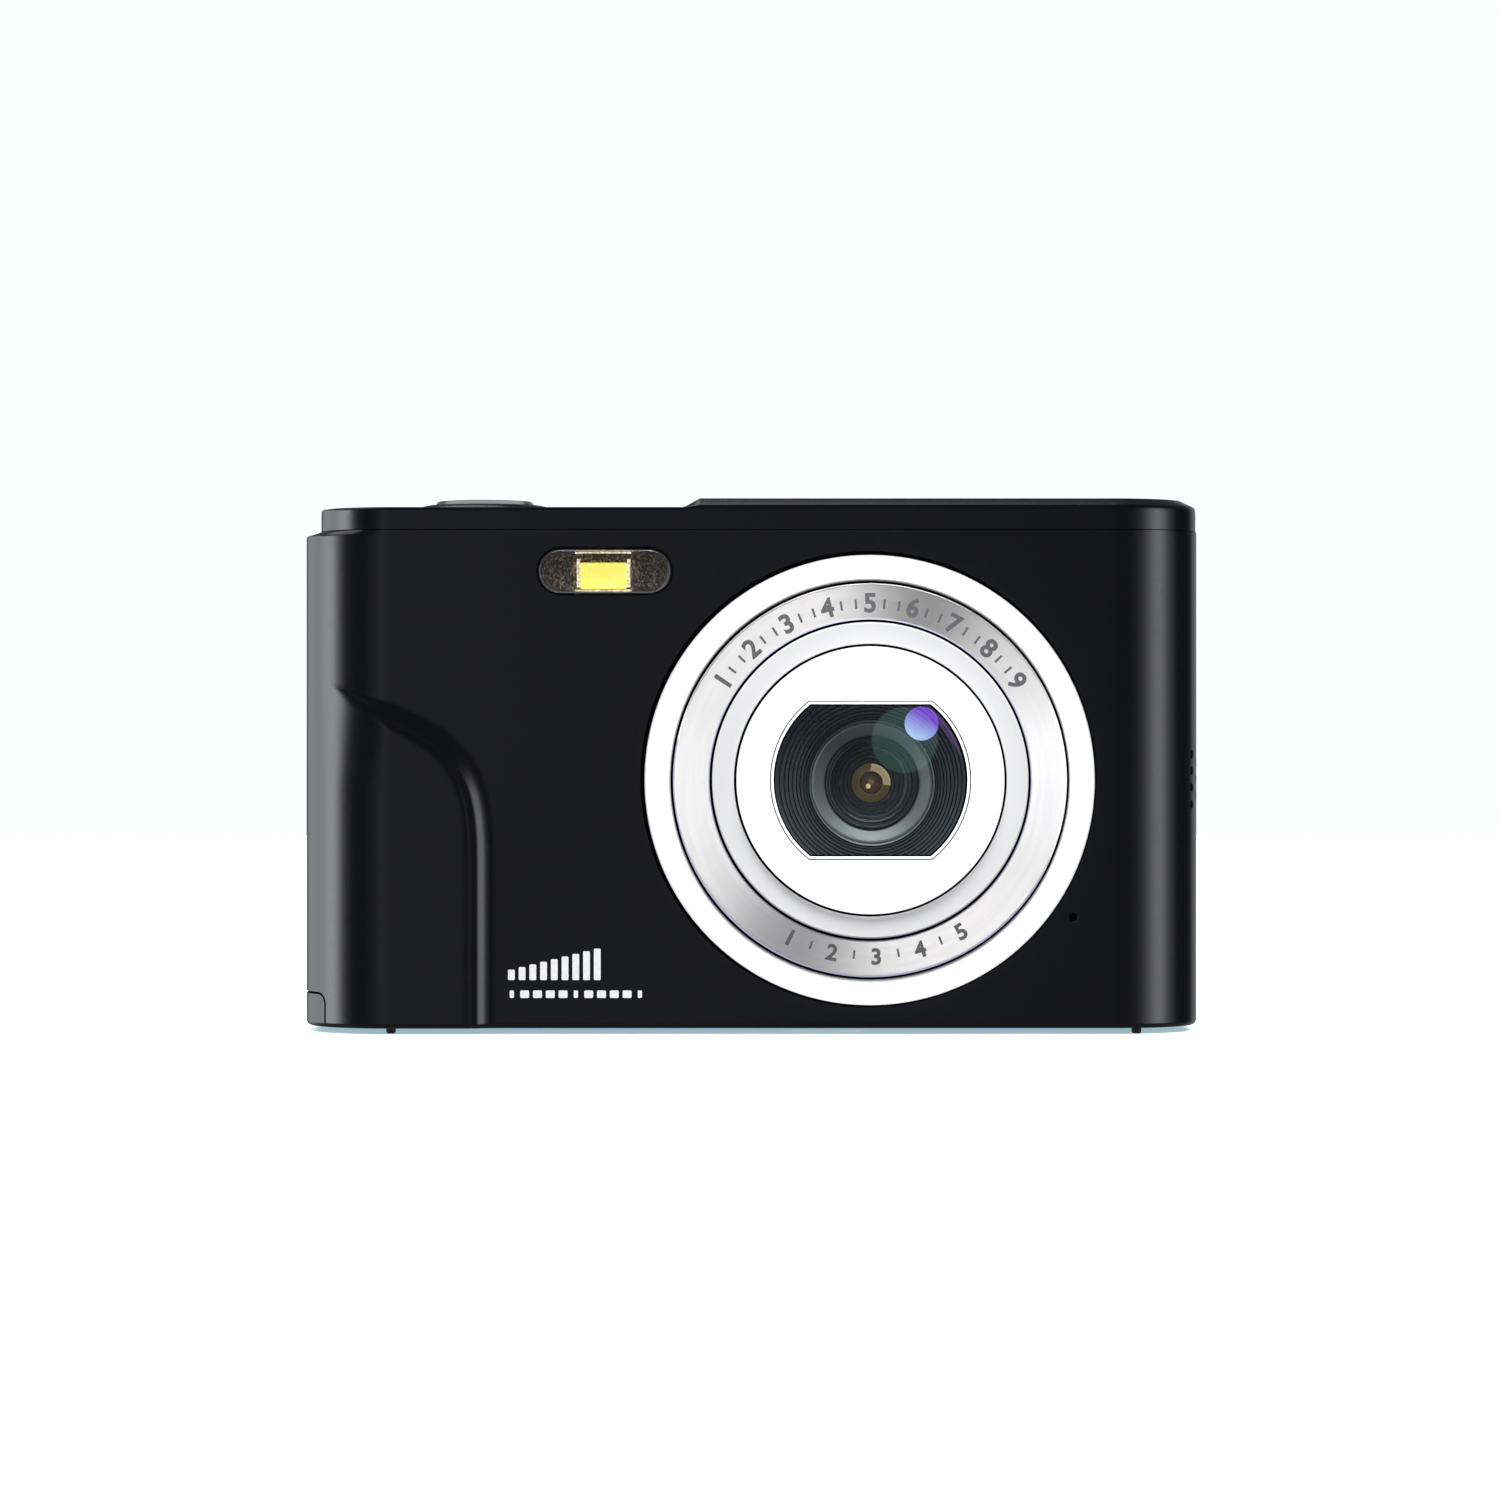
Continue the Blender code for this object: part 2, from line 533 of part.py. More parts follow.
def make_power_and_ports(m):
    box("battery", (-42.4, -4.95, 5.0), (-9.6, 0.95, 44.6), m["battery_wrap"])
    tray = box("battery_tray", (-43.5, -5.9, 5.2), (-8.5, 1.9, 46.6), m["inner_black"])
    cut(tray, box("cut_battery_bay", (-42.7, -5.1, 0), (-9.3, 1.1, 45.8)))
    box("battery_contacts", (-36.0, -3.5, 44.75), (-24.0, -0.5, 45.65), m["brass"])
    slot = box("card_slot", (-38.0, 2.1, 5.0), (-13.5, 4.9, 30.0), m["steel"])
    cut(slot, box("cut_card_slot", (-36.9, 2.5, 0), (-14.6, 4.4, 29.0)))
    port = box("usb_port", (-47.9, 2.35, 32.05), (-42.4, 4.95, 39.55), m["steel"])
    cut(port, box("cut_usb_mouth", (-50, 2.75, 32.5), (-43.4, 4.55, 39.1)))
    turned("speaker",
           [(0.0, 39.4), (2.6, 39.4), (2.6, 40.4), (4.4, 40.4), (4.4, 42.4), (0.0, 42.4)],
           (-2.4, SPEAKER_Z), "X", m["inner_black"], SMALL)
    turned("microphone", disc_profile(2.0, -8.2, -6.2), (34.2, 12.4), "Y", m["steel"], 16)


def make_tripod_insert(m):
    turned("tripod_insert",
           [(TRIPOD_BORE, BOTTOM_Z), (4.1, BOTTOM_Z), (4.1, FLOOR_Z + 0.1), (4.6, FLOOR_Z + 0.1),
            (4.6, 3.5), (4.2, 3.5), (4.2, 8.3), (0.0, 8.3), (0.0, 7.2), (TRIPOD_BORE, 7.2)],
           (TRIPOD_X, TRIPOD_Y), "Z", m["brass"], SMALL)


def make_strap_bar(m):
    turned("strap_bar", disc_profile(0.6, 8.7, 18.1), (46.9, 4.8), "Z", m["steel"], 12)


# ---------------------------------------------------------------- feet and screws

def foot_block(name, x, y, clearance, material=None):
    outline = centred(x, y, 1.0 + 2 * clearance, 1.6 + 2 * clearance, 0.4 + clearance, 2)
    return prism(name, outline, 0.0 - 5 * clearance, 1.3 + clearance, "Z", material)


def make_feet(m):
    for side, x in zip(("left", "right"), FEET_X):
        for end, y in (("front", FRONT_FOOT_Y), ("rear", REAR_FOOT_Y)):
            foot_block(f"foot_{end}_{side}", x, y, 0.0, m["rubber"])


def make_screw(name, axis, across, up, outside, inward, length, m):
    head = outside + 0.15 * inward
    neck = outside + 0.85 * inward
    tip = outside + length * inward
    profile = [(0.0, head), (1.3, head), (1.3, neck), (0.7, neck), (0.7, tip), (0.0, tip)]
    turned(name, profile, (across, up), axis, m["steel"], 12)


def make_screws(m):
    make_screw("screw_end_left", "X", END_SCREW_Y, END_SCREW_Z, -BODY_END, 1, 3.8, m)
    make_screw("screw_end_right", "X", END_SCREW_Y, END_SCREW_Z, BODY_END, -1, 3.8, m)
    for name, x in zip(("screw_bottom_left", "screw_bottom_right"), BOTTOM_SCREWS_X):
        make_screw(name, "Z", x, BOTTOM_SCREW_Y, BOTTOM_Z, 1, 4.6, m)


# ---------------------------------------------------------------- buttons and keys

def make_top_buttons(m):
    turned("shutter_collar",
           [(5.55, TOP_Z + 0.05), (7.3, TOP_Z + 0.05), (6.7, TOP_Z + 0.46), (6.1, TOP_Z + 0.66),
            (5.55, TOP_Z + 0.72)],
           (SHUTTER_X, 0), "Z", m["body_black"], MEDIUM)
    turned("shutter_button",
           [(0.0, 51.5), (1.5, 51.5), (1.5, 53.4), (6.2, 53.4), (6.2, 54.2), (SHUTTER_RADIUS, 54.2),
            (SHUTTER_RADIUS, 56.7), (4.97, 57.08), (2.5, 57.21), (0.0, 57.25)],
           (SHUTTER_X, 0), "Z", m["silver"], MEDIUM, (SHUTTER_X, 0, TOP_Z))
    turned("power_button",
           [(0.0, 51.4), (1.2, 51.4), (1.2, 53.5), (3.2, 53.5), (3.2, 54.2), (POWER_RADIUS, 54.2),
            (POWER_RADIUS, 56.2), (2.2, 56.4), (0.0, 56.4)],
           (POWER_X, POWER_Y), "Z", m["silver"], SMALL, (POWER_X, POWER_Y, TOP_Z))
    for name, x, y in (("shutter_switch", SHUTTER_X, 0.0), ("power_switch", POWER_X, POWER_Y)):
        switch = box(name, (x - 3, y - 3, 47.4), (x + 3, y + 3, 49.8), m["inner_black"])
        join(switch, turned(f"add_{name}_plunger", disc_profile(1.4, 49.0, 50.8), (x, y), "Z"))


def key_solid(name, cap, flange, material, origin):
    """A key with a cap through the rear shell and a wider flange behind it."""
    key = prism(name, cap, KEY_FLANGE_Y[0], BODY_FACE + KEY_PROUD, "Y", material, origin)
    join(key, prism(f"add_{name}_flange", flange, *KEY_FLANGE_Y, "Y"))
    return key


def sector(middle, inner, outer, gap):
    """A quarter ring round the pad's centre, its straight ends pulled back by half the gap."""
    reach = 45.0
    outer_end = reach - math.degrees(gap / 2 / outer)
    inner_end = reach - math.degrees(gap / 2 / inner)
    points = arc(PAD_X, PAD_Z, outer, outer, middle - outer_end, middle + outer_end, 6)
    return points + arc(PAD_X, PAD_Z, inner, inner, middle + inner_end, middle - inner_end, 4)


def make_keys(m):
    face = BODY_FACE
    for name, middle in (("up_key", 90), ("left_key", 180), ("down_key", 270), ("right_key", 0)):
        angle = math.radians(middle)
        origin = (PAD_X + 6 * math.cos(angle), face, PAD_Z + 6 * math.sin(angle))
        key_solid(name, sector(middle, 4.0, 8.2, 0.5), sector(middle, 4.3, 8.7, 0.6), m["key_grey"],
                  origin)
    turned("ok_key",
           [(0.0, 7.45), (3.75, 7.45), (3.75, 10.3), (3.4, 10.5), (0.0, 10.5)],
           (PAD_X, PAD_Z), "Y", m["key_grey"], SMALL, (PAD_X, face, PAD_Z))
    for name, x, z in ROUND_KEYS:
        turned(name,
               [(0.0, 7.45), (2.9, 7.45), (2.9, 8.1), (ROUND_KEY_RADIUS, 8.1),
                (ROUND_KEY_RADIUS, 10.3), (2.0, 10.5), (0.0, 10.5)],
               (x, z), "Y", m["key_grey"], SMALL, (x, face, z))
    rocker = prism("zoom_rocker", centred(PAD_X, ROCKER_Z, 13.0, 4.6, 2.29, 5), 7.4, 10.6, "Y",
                   m["key_grey"], (PAD_X, 8.0, ROCKER_Z))
    join(rocker, prism("add_rocker_flange", centred(PAD_X, ROCKER_Z, 13.8, 5.6, 2.6, 5), 7.35, 7.95,
                       "Y"))


# ---------------------------------------------------------------- battery door

def make_battery_door(m):
    axis = (HINGE_X, HINGE_Z)
    door = body_block("battery_door")
    door.data.materials.append(m["body_black"])
    combine(door, door_region("keep_door_region", 0.0), "INTERSECT")
    cut(door, plan_block("cut_door_inside", DOOR_WALL, BOTTOM_Z + DOOR_WALL, 60))
    for end, (low, high) in (("front", (DOOR_FRONT_Y, -KNUCKLE_HALF - 0.15)),
                             ("rear", (KNUCKLE_HALF + 0.15, DOOR_REAR_Y))):
        join(door, turned(f"add_door_knuckle_{end}", disc_profile(HINGE_RADIUS, low, high), axis, "Y"))
    cut(door,
        box("cut_knuckle_gap", (HINGE_X - 1.45, -KNUCKLE_HALF - 0.15, -1),
            (HINGE_X + 3, KNUCKLE_HALF + 0.15, 5)),
        turned("cut_door_bore", disc_profile(PIN_RADIUS + 0.06, -8, 8), axis, "Y"))
    set_origin(door, (HINGE_X, 0.0, HINGE_Z))

    slider = turned("door_slider", disc_profile(HINGE_RADIUS, -KNUCKLE_HALF, KNUCKLE_HALF), axis, "Y",
                    m["inner_black"], SMALL, (HINGE_X, 0.0, HINGE_Z))
    join(slider, box("add_slider_tongue", (HINGE_X, -KNUCKLE_HALF, 2.35),
                     (HINGE_X + 7, KNUCKLE_HALF, 3.1)))
    cut(slider, turned("cut_slider_bore", disc_profile(PIN_RADIUS + 0.03, -8, 8), axis, "Y"))
    pin = turned("door_hinge_pin", disc_profile(PIN_RADIUS, -5.5, 5.5), axis, "Y", m["steel"], SMALL,
                 (HINGE_X, 0.0, HINGE_Z))
    for piece in (pin, door):
        piece.parent = slider
        piece.location = (0.0, 0.0, 0.0)


def set_origin(piece, point):
    """Moves an object's origin to a point in millimetres without moving its mesh in the world."""
    shift = Vector(point) * MM
    for vertex in piece.data.vertices:
        vertex.co -= shift
    piece.location = shift


# ---------------------------------------------------------------- assembly

def build():
    for old in list(bpy.data.objects):
        bpy.data.objects.remove(old)
    m = make_materials()
    make_front_shell(m)
    make_rear_shell(m)
    make_top_cover(m)
    make_lens(m)
    make_flash(m)
    make_screen(m)
    make_boards(m)
    make_power_and_ports(m)
    make_tripod_insert(m)
    make_strap_bar(m)
    make_feet(m)
    make_screws(m)
    make_top_buttons(m)
    make_keys(m)
    make_battery_door(m)
    for piece in bpy.data.objects:
        if piece.parent is None:
            piece.location.y += CENTRE_Y * MM


build()
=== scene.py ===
"""Looks of the compact digital camera: fine pieces, materials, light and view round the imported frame.

Numbers are millimetres in the part's own frame, except that Y is counted from the body's middle plane. The
mesh helpers turn them into metres and move them to where the frame holds that plane.
"""

import json
import math

import bmesh
import bpy
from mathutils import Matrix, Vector

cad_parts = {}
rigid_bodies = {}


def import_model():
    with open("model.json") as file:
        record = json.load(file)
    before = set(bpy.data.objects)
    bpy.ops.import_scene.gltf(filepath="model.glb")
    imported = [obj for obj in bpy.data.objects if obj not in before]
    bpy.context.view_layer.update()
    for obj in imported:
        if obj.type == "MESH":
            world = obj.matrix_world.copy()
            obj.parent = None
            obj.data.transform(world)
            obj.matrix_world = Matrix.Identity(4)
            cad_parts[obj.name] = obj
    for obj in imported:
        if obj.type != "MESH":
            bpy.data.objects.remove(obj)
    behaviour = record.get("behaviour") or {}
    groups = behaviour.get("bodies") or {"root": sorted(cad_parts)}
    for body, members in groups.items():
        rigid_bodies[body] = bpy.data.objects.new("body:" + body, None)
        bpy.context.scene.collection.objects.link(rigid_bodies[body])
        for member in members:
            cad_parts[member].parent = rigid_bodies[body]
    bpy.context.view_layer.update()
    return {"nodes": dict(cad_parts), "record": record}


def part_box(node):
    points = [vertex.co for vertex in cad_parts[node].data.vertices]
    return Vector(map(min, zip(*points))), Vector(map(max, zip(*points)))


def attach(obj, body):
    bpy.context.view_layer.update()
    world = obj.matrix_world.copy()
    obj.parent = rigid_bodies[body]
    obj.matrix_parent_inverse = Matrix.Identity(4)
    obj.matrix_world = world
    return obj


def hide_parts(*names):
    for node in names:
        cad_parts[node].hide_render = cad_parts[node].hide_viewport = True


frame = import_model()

MM = 0.001
BODY_OF = {node: body for body, nodes in frame["record"]["behaviour"]["bodies"].items() for node in nodes}


def mm_box(node):
    low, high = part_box(node)
    return low / MM, high / MM


def middle(node):
    low, high = mm_box(node)
    return (low + high) / 2


def depths(node):
    """Where a node starts and ends along Y, counted from the body's middle plane."""
    low, high = mm_box(node)
    return low.y - MID_Y, high.y - MID_Y


def front_of(node):
    return depths(node)[0]


# ---------------------------------------------------------------- sizes read from the frame

MID_Y = middle("top_cover").y
SHELL_LOW, SHELL_HIGH = mm_box("front_shell")
COVER_LOW, COVER_HIGH = mm_box("top_cover")
SEAM = mm_box("rear_shell")[0].y - SHELL_HIGH.y     # gap between two cosmetic parts
BODY_END = SHELL_HIGH.x                  # half the width
BODY_FACE = (COVER_HIGH.y - COVER_LOW.y) / 2 + SEAM      # half the depth without the grip's raised front
BOTTOM_Z, SEAM_Z = SHELL_LOW.z, SHELL_HIGH.z
PLATFORM_Z = COVER_HIGH.z                # raised part of the top cover
TOP_Z = PLATFORM_Z - 1.0                 # top cover over the grip
PARTING_Y = mm_box("rear_shell")[0].y - MID_Y - SEAM / 2
LENS_X, LENS_Z = middle("lens_bezel_ring").x, middle("lens_bezel_ring").z
FLASH_X, FLASH_Z = middle("flash_window").x, middle("flash_window").z
SHUTTER_X = middle("shutter_button").x
POWER_X, POWER_Y = middle("power_button").x, middle("power_button").y - MID_Y
PAD_X, PAD_Z = middle("ok_key").x, middle("ok_key").z
ROCKER_Z = middle("zoom_rocker").z
SCREEN_X, SCREEN_Z = middle("lcd_window").x, middle("lcd_window").z
HINGE_X, HINGE_Z = middle("door_hinge_pin").x, middle("door_hinge_pin").z
TRIPOD_X, TRIPOD_Y = middle("tripod_insert").x, middle("tripod_insert").y - MID_Y
STRAP_X, STRAP_Y = middle("strap_bar").x, middle("strap_bar").y - MID_Y
SPEAKER_Z = middle("speaker").z
MIC_X, MIC_Z = middle("microphone").x, middle("microphone").z
ROUND_KEYS = ("mode_key", "play_key", "menu_key", "delete_key")
SCREWS = ("screw_end_left", "screw_end_right", "screw_bottom_left", "screw_bottom_right")
FEET = ("foot_front_left", "foot_front_right", "foot_rear_left", "foot_rear_right")

# Shape of the shells
WALL = 1.6
FRONT_RADIUS, REAR_RADIUS = 9.5, 4.0     # plan radii of the vertical corners
FRONT_CENTRE_X, FRONT_CENTRE_Y = BODY_END - FRONT_RADIUS, FRONT_RADIUS - BODY_FACE
REAR_CENTRE_X, REAR_CENTRE_Y = BODY_END - REAR_RADIUS, BODY_FACE - REAR_RADIUS
SHOULDER = 1.5                           # how far the cover stands in from the left end
EDGE = 0.6                               # rounding of the underside's edge
FLOOR_Z = BOTTOM_Z + WALL

# The grip's slope starts on this cubic curve of (x, z) control points and climbs RISE. STEEPNESS gives its
# slope at distances from that curve: a long ramp, a crease and a low lip. It narrows towards the left end.
GRIP_FOOT = ((-46.0, 37.5), (-27.4, 34.3), (-27.1, 26.5), (-27.1, 17.0))
RISE, GRIP_TOP_Z, GRIP_END = 1.0, 38.2, -45.3
STEEPNESS = ((0.0, 0.0), (0.3, 0.06), (0.45, 0.13), (0.87, 0.36), (1.1, 0.43), (1.27, 0.54), (1.42, 0.62),
             (1.55, 0.64), (1.85, 0.64), (1.97, 0.50), (2.2, 0.14), (2.48, 0.13), (2.75, 0.36), (2.88, 0.36),
             (3.1, 0.17), (3.3, 0.04), (3.6, 0.0))
NARROW_LENGTH, NARROW_LEAST = 9.5, 0.06  # from the left end, the slope widens over this length
END_LENGTH = 6.5                         # the rise fades out over this length at the left end,
END_FROM_Z, END_OVER_Z = 26.0, 10.0      # above this height, more and more over this height

# Battery door
DOOR_FRONT_Y, DOOR_REAR_Y, DOOR_TOP_Z, DOOR_WALL = -7.5, 5.6, 4.1, 1.4
DOOR_END_GAP, DOOR_SEAM = 1.62, 0.24
KNUCKLE_HALF, HINGE_RADIUS, PIN_RADIUS = 2.0, 1.25, 0.5

# Lens: radii on both sides of the gaps between its rings, and where its inner parts sit off the rings' axis
LENS = (LENS_X, LENS_Z)
BEZEL_INNER, SCALE_OUTER, SCALE_INNER = 21.04, 20.78, 16.94
STEP_OUTER, STEP_INNER, PLATE_OUTER = 16.65, 14.35, 14.08
LEAN_X, LEAN_Z = 0.30, -0.33
WINDOW_RADIUS, WINDOW_HALF = 10.40, 8.18 # the window: a circle cut flat at this height above and below
GLARE_X, GLARE_Z, GLARE_RADIUS = 17.93, 32.97, 1.79
VEIL_X, VEIL_Z, VEIL_RADIUS = 16.15, 31.23, 3.48

CHIP_X, CHIP_Z = FLASH_X - 0.22, FLASH_Z - 0.4   # middle of the flash's yellow chip
SPEAKER_ROWS = ((-4.25, 4), (-2.1, 3), (0.0, 4)) # Y of each row of speaker holes and how many it has
SPEAKER_PITCH, SPEAKER_RADIUS = 1.78, 0.47

KEY_SINK = 0.04                          # keys end this much below their node, room for a printed mark
RING, ROUND, TINY = 192, 72, 32          # segments round large, middle and small circles

# The view: how far to the side, how high, how far in front of the middle plane, and the lens
CAMERA_X, CAMERA_Z, CAMERA_DISTANCE, CAMERA_LENS = -0.16, 30.18, 575.0, 127.7


# ---------------------------------------------------------------- mesh helpers

def on_axis(axis, across, up, along):
    """A point from its two coordinates across an axis and its distance along it."""
    return {"X": (along, across, up), "Y": (across, along, up), "Z": (across, up, along)}[axis]


def shade(mesh, angle=32):
    mesh.shade_smooth()
    mesh.set_sharp_from_angle(angle=math.radians(angle))


def finish(name, mesh_data, material=None, angle=32):
    """Makes an object in metres and in the row frame from a bmesh in millimetres."""
    bmesh.ops.remove_doubles(mesh_data, verts=mesh_data.verts, dist=1e-4)
    bmesh.ops.recalc_face_normals(mesh_data, faces=mesh_data.faces)
    bmesh.ops.translate(mesh_data, verts=mesh_data.verts, vec=(0, MID_Y, 0))
    bmesh.ops.scale(mesh_data, verts=mesh_data.verts, vec=(MM, MM, MM))
    mesh = bpy.data.meshes.new(name)
    mesh_data.to_mesh(mesh)
    mesh_data.free()
    shade(mesh, angle)
    made = bpy.data.objects.new(name, mesh)
    if material:
        mesh.materials.append(material)
    bpy.context.scene.collection.objects.link(made)
    return made


def skin(name, rings, material=None, caps=True):
    """A solid through rings of points, each ring closed and with as many points as the next."""
    mesh_data = bmesh.new()
    rows = [[mesh_data.verts.new(point) for point in ring] for ring in rings]
    count = len(rows[0])
    for below, above in zip(rows, rows[1:]):
        for i in range(count):
            j = (i + 1) % count
            mesh_data.faces.new((below[i], below[j], above[j], above[i]))
    if caps:
        mesh_data.faces.new(reversed(rows[0]))
        mesh_data.faces.new(rows[-1])
    return finish(name, mesh_data, material)


def prism(name, outline, low, high, axis="Z", material=None):
    return skin(name, [[on_axis(axis, u, v, along) for u, v in outline] for along in (low, high)], material)


def block(name, low, high, material=None):
    outline = [(low[0], low[1]), (high[0], low[1]), (high[0], high[1]), (low[0], high[1])]
    return prism(name, outline, low[2], high[2], "Z", material)


def stepped(name, steps, axis="Y", material=None):
    """A solid through outlines at several places along an axis; steps are (outline, along)."""
    rings = [[on_axis(axis, u, v, along) for u, v in outline] for outline, along in steps]
    return skin(name, rings, material)


def turned(name, profile, centre, axis="Y", material=None, segments=ROUND):
    """A closed profile of (radius, distance along the axis) turned round an axis through centre."""
    mesh_data = bmesh.new()
    rows = []
    for step in range(segments):
        angle = 2 * math.pi * step / segments
        rows.append([mesh_data.verts.new(on_axis(axis, centre[0] + radius * math.cos(angle),
                                                 centre[1] + radius * math.sin(angle), along))
                     for radius, along in profile])
    for here, after in zip(rows, rows[1:] + rows[:1]):
        for i in range(len(profile)):
            j = (i + 1) % len(profile)
            if profile[i][0] > 0 or profile[j][0] > 0:
                mesh_data.faces.new((here[i], here[j], after[j], after[i]))
    return finish(name, mesh_data, material)


def soft(points, steps=4):
    """A closed outline whose corners are rounded: a point is (u, v), or (u, v, length cut off each side)."""
    made = []
    for i, point in enumerate(points):
        if len(point) == 2:
            made.append(point)
            continue
        corner = Vector(point[:2])
        ends = []
        for other in (points[i - 1], points[(i + 1) % len(points)]):
            ends.append(corner + (Vector(other[:2]) - corner).normalized() * point[2])
        for step in range(steps + 1):
            t = step / steps
            made.append(tuple((1 - t) ** 2 * ends[0] + 2 * t * (1 - t) * corner + t * t * ends[1]))
    return made


def arc(centre_x, centre_y, radius_x, radius_y, start, end, segments):
    points = []
    for step in range(segments + 1):
        angle = math.radians(start + (end - start) * step / segments)
        points.append((centre_x + radius_x * math.cos(angle), centre_y + radius_y * math.sin(angle)))
    return points


def at_angles(centre_x, centre_y, radius, angles):
    """Points of a circle at given angles in degrees."""
    return [(centre_x + radius * math.cos(math.radians(a)), centre_y + radius * math.sin(math.radians(a)))
            for a in angles]


def circle(centre_x, centre_y, radius, segments=TINY):
    return arc(centre_x, centre_y, radius, radius, 0, 360, segments)[:-1]


def rounded(low_x, low_y, high_x, high_y, radius, segments=8):
    points = []
    corners = ((high_x - radius, low_y + radius, -90), (high_x - radius, high_y - radius, 0),
               (low_x + radius, high_y - radius, 90), (low_x + radius, low_y + radius, 180))
    for centre_x, centre_y, start in corners:
        points += arc(centre_x, centre_y, radius, radius, start, start + 90, segments)
    return points


def centred(centre_x, centre_y, width, height, radius, segments=8):
    return rounded(centre_x - width / 2, centre_y - height / 2,
                   centre_x + width / 2, centre_y + height / 2, radius, segments)


def carve(target, cutters, operation="DIFFERENCE"):
    """Applies one Boolean with all the cutters at once, removes them and shades the result."""
    tools = bpy.data.collections.new("tools")
    for cutter in cutters:
        tools.objects.link(cutter)
    modifier = target.modifiers.new("carve", "BOOLEAN")
    modifier.operation = operation
    modifier.solver = "EXACT"
    modifier.operand_type = "COLLECTION"
    modifier.collection = tools
    graph = bpy.context.evaluated_depsgraph_get()
    mesh = bpy.data.meshes.new_from_object(target.evaluated_get(graph))
    target.modifiers.remove(modifier)
    target.data = mesh
    for cutter in cutters:
        bpy.data.objects.remove(cutter)
    bpy.data.collections.remove(tools)
    clean = bmesh.new()
    clean.from_mesh(mesh)
    bmesh.ops.dissolve_degenerate(clean, edges=clean.edges, dist=1e-7)
    clean.to_mesh(mesh)
    clean.free()
    shade(mesh)
    return target


def join(name, pieces):
    """One object from several, whose meshes stay separate bodies."""
    merged = bmesh.new()
    for piece in pieces:
        merged.from_mesh(piece.data)
    mesh = bpy.data.meshes.new(name)
    merged.to_mesh(mesh)
    merged.free()
    for material in pieces[0].data.materials:
        mesh.materials.append(material)
    for piece in pieces:
        bpy.data.objects.remove(piece)
    shade(mesh)
    made = bpy.data.objects.new(name, mesh)
    bpy.context.scene.collection.objects.link(made)
    return made


def settle(piece, node, stands_for=True):
    """Rides a piece on its node's body, and lets it stand for that node unless it is an addition to it."""
    modifier = piece.modifiers.new("flat faces", "WEIGHTED_NORMAL")
    modifier.keep_sharp = True
    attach(piece, BODY_OF[node])
    if stands_for:
        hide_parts(node)
    return piece


# ---------------------------------------------------------------- material nodes

def add(tree, kind, attributes=None, **inputs):
    """A shader node. An input's value is a number, a colour or another node's output; i0, i1 are by place."""
    node = tree.nodes.new("ShaderNode" + kind)
    for key, value in (attributes or {}).items():
        setattr(node, key, value)
    for key, value in inputs.items():
        socket = node.inputs[int(key[1:])] if key[1:].isdigit() else node.inputs[key.replace("_", " ")]
        if isinstance(value, bpy.types.NodeSocket):
            tree.links.new(value, socket)
        else:
            socket.default_value = value
    return node


def maths(tree, operation, *values, clamp=False):
    """The result of a math node over one to three numbers or outputs."""
    more = {"use_clamp": True} if clamp else {}
    inputs = {f"i{place}": value for place, value in enumerate(values)}
    return add(tree, "Math", {"operation": operation, **more}, **inputs).outputs[0]


def here(tree):
    """The piece's own coordinates, in metres."""
    return add(tree, "TexCoord").outputs["Object"]


def finish_with(tree, shader):
    """Sends a shader that isn't the Principled one to the material's output."""
    tree.links.new(shader.outputs[0], tree.nodes["Material Output"].inputs["Surface"])


def start(name):
    material = bpy.data.materials.new(name)
    material.use_nodes = True
    return material, material.node_tree, material.node_tree.nodes["Principled BSDF"]


def wire(tree, shader, **inputs):
    for key, value in inputs.items():
        socket = shader.inputs[key.replace("_", " ")]
        if isinstance(value, bpy.types.NodeSocket):
            tree.links.new(value, socket)
        else:
            socket.default_value = value


def noise(tree, scale, detail=3.0, stretch=(1.0, 1.0, 1.0)):
    """Noise over the piece's own coordinates; scale counts features per metre."""
    place = add(tree, "Mapping", Vector=here(tree), Scale=stretch).outputs[0]
    return add(tree, "TexNoise", Vector=place, Scale=scale, Detail=detail).outputs[0]


def spread(tree, value, low, high, start_at=0.3, end_at=0.7):
    return add(tree, "MapRange", i0=value, i1=start_at, i2=end_at, i3=low, i4=high).outputs[0]


def relief(tree, height, depth_mm, normal=None):
    more = {"Normal": normal} if normal else {}
    return add(tree, "Bump", Height=height, Distance=depth_mm * MM, Strength=1.0, **more).outputs[0]


def blend_colour(tree, factor, first, second):
    mix = add(tree, "Mix", {"data_type": "RGBA"}, i0=factor)
    for socket, value in ((mix.inputs[6], first), (mix.inputs[7], second)):
        if isinstance(value, bpy.types.NodeSocket):
            tree.links.new(value, socket)
        else:
            socket.default_value = (*value, 1.0)
    return mix.outputs[2]


def two_tone(tree, pattern, first, second):
    """A colour that drifts between two tones over the middle of a pattern's range."""
    return blend_colour(tree, spread(tree, pattern, 0.0, 1.0), first, second)


def plain(name, first, second, roughness, metallic=0.0, grain=900.0, depth=0.004, **extra):
    """Moulded or turned stock: two close tones, uneven gloss and a fine grain of the given depth in mm."""
    material, tree, shader = start(name)
    broad, fine = noise(tree, 60.0), noise(tree, grain, 5.0)
    wire(tree, shader,
         Base_Color=two_tone(tree, broad, first, second),
         Roughness=spread(tree, fine, roughness * 0.85, roughness * 1.15),
         Metallic=metallic, Normal=relief(tree, fine, depth), **extra)
    return material


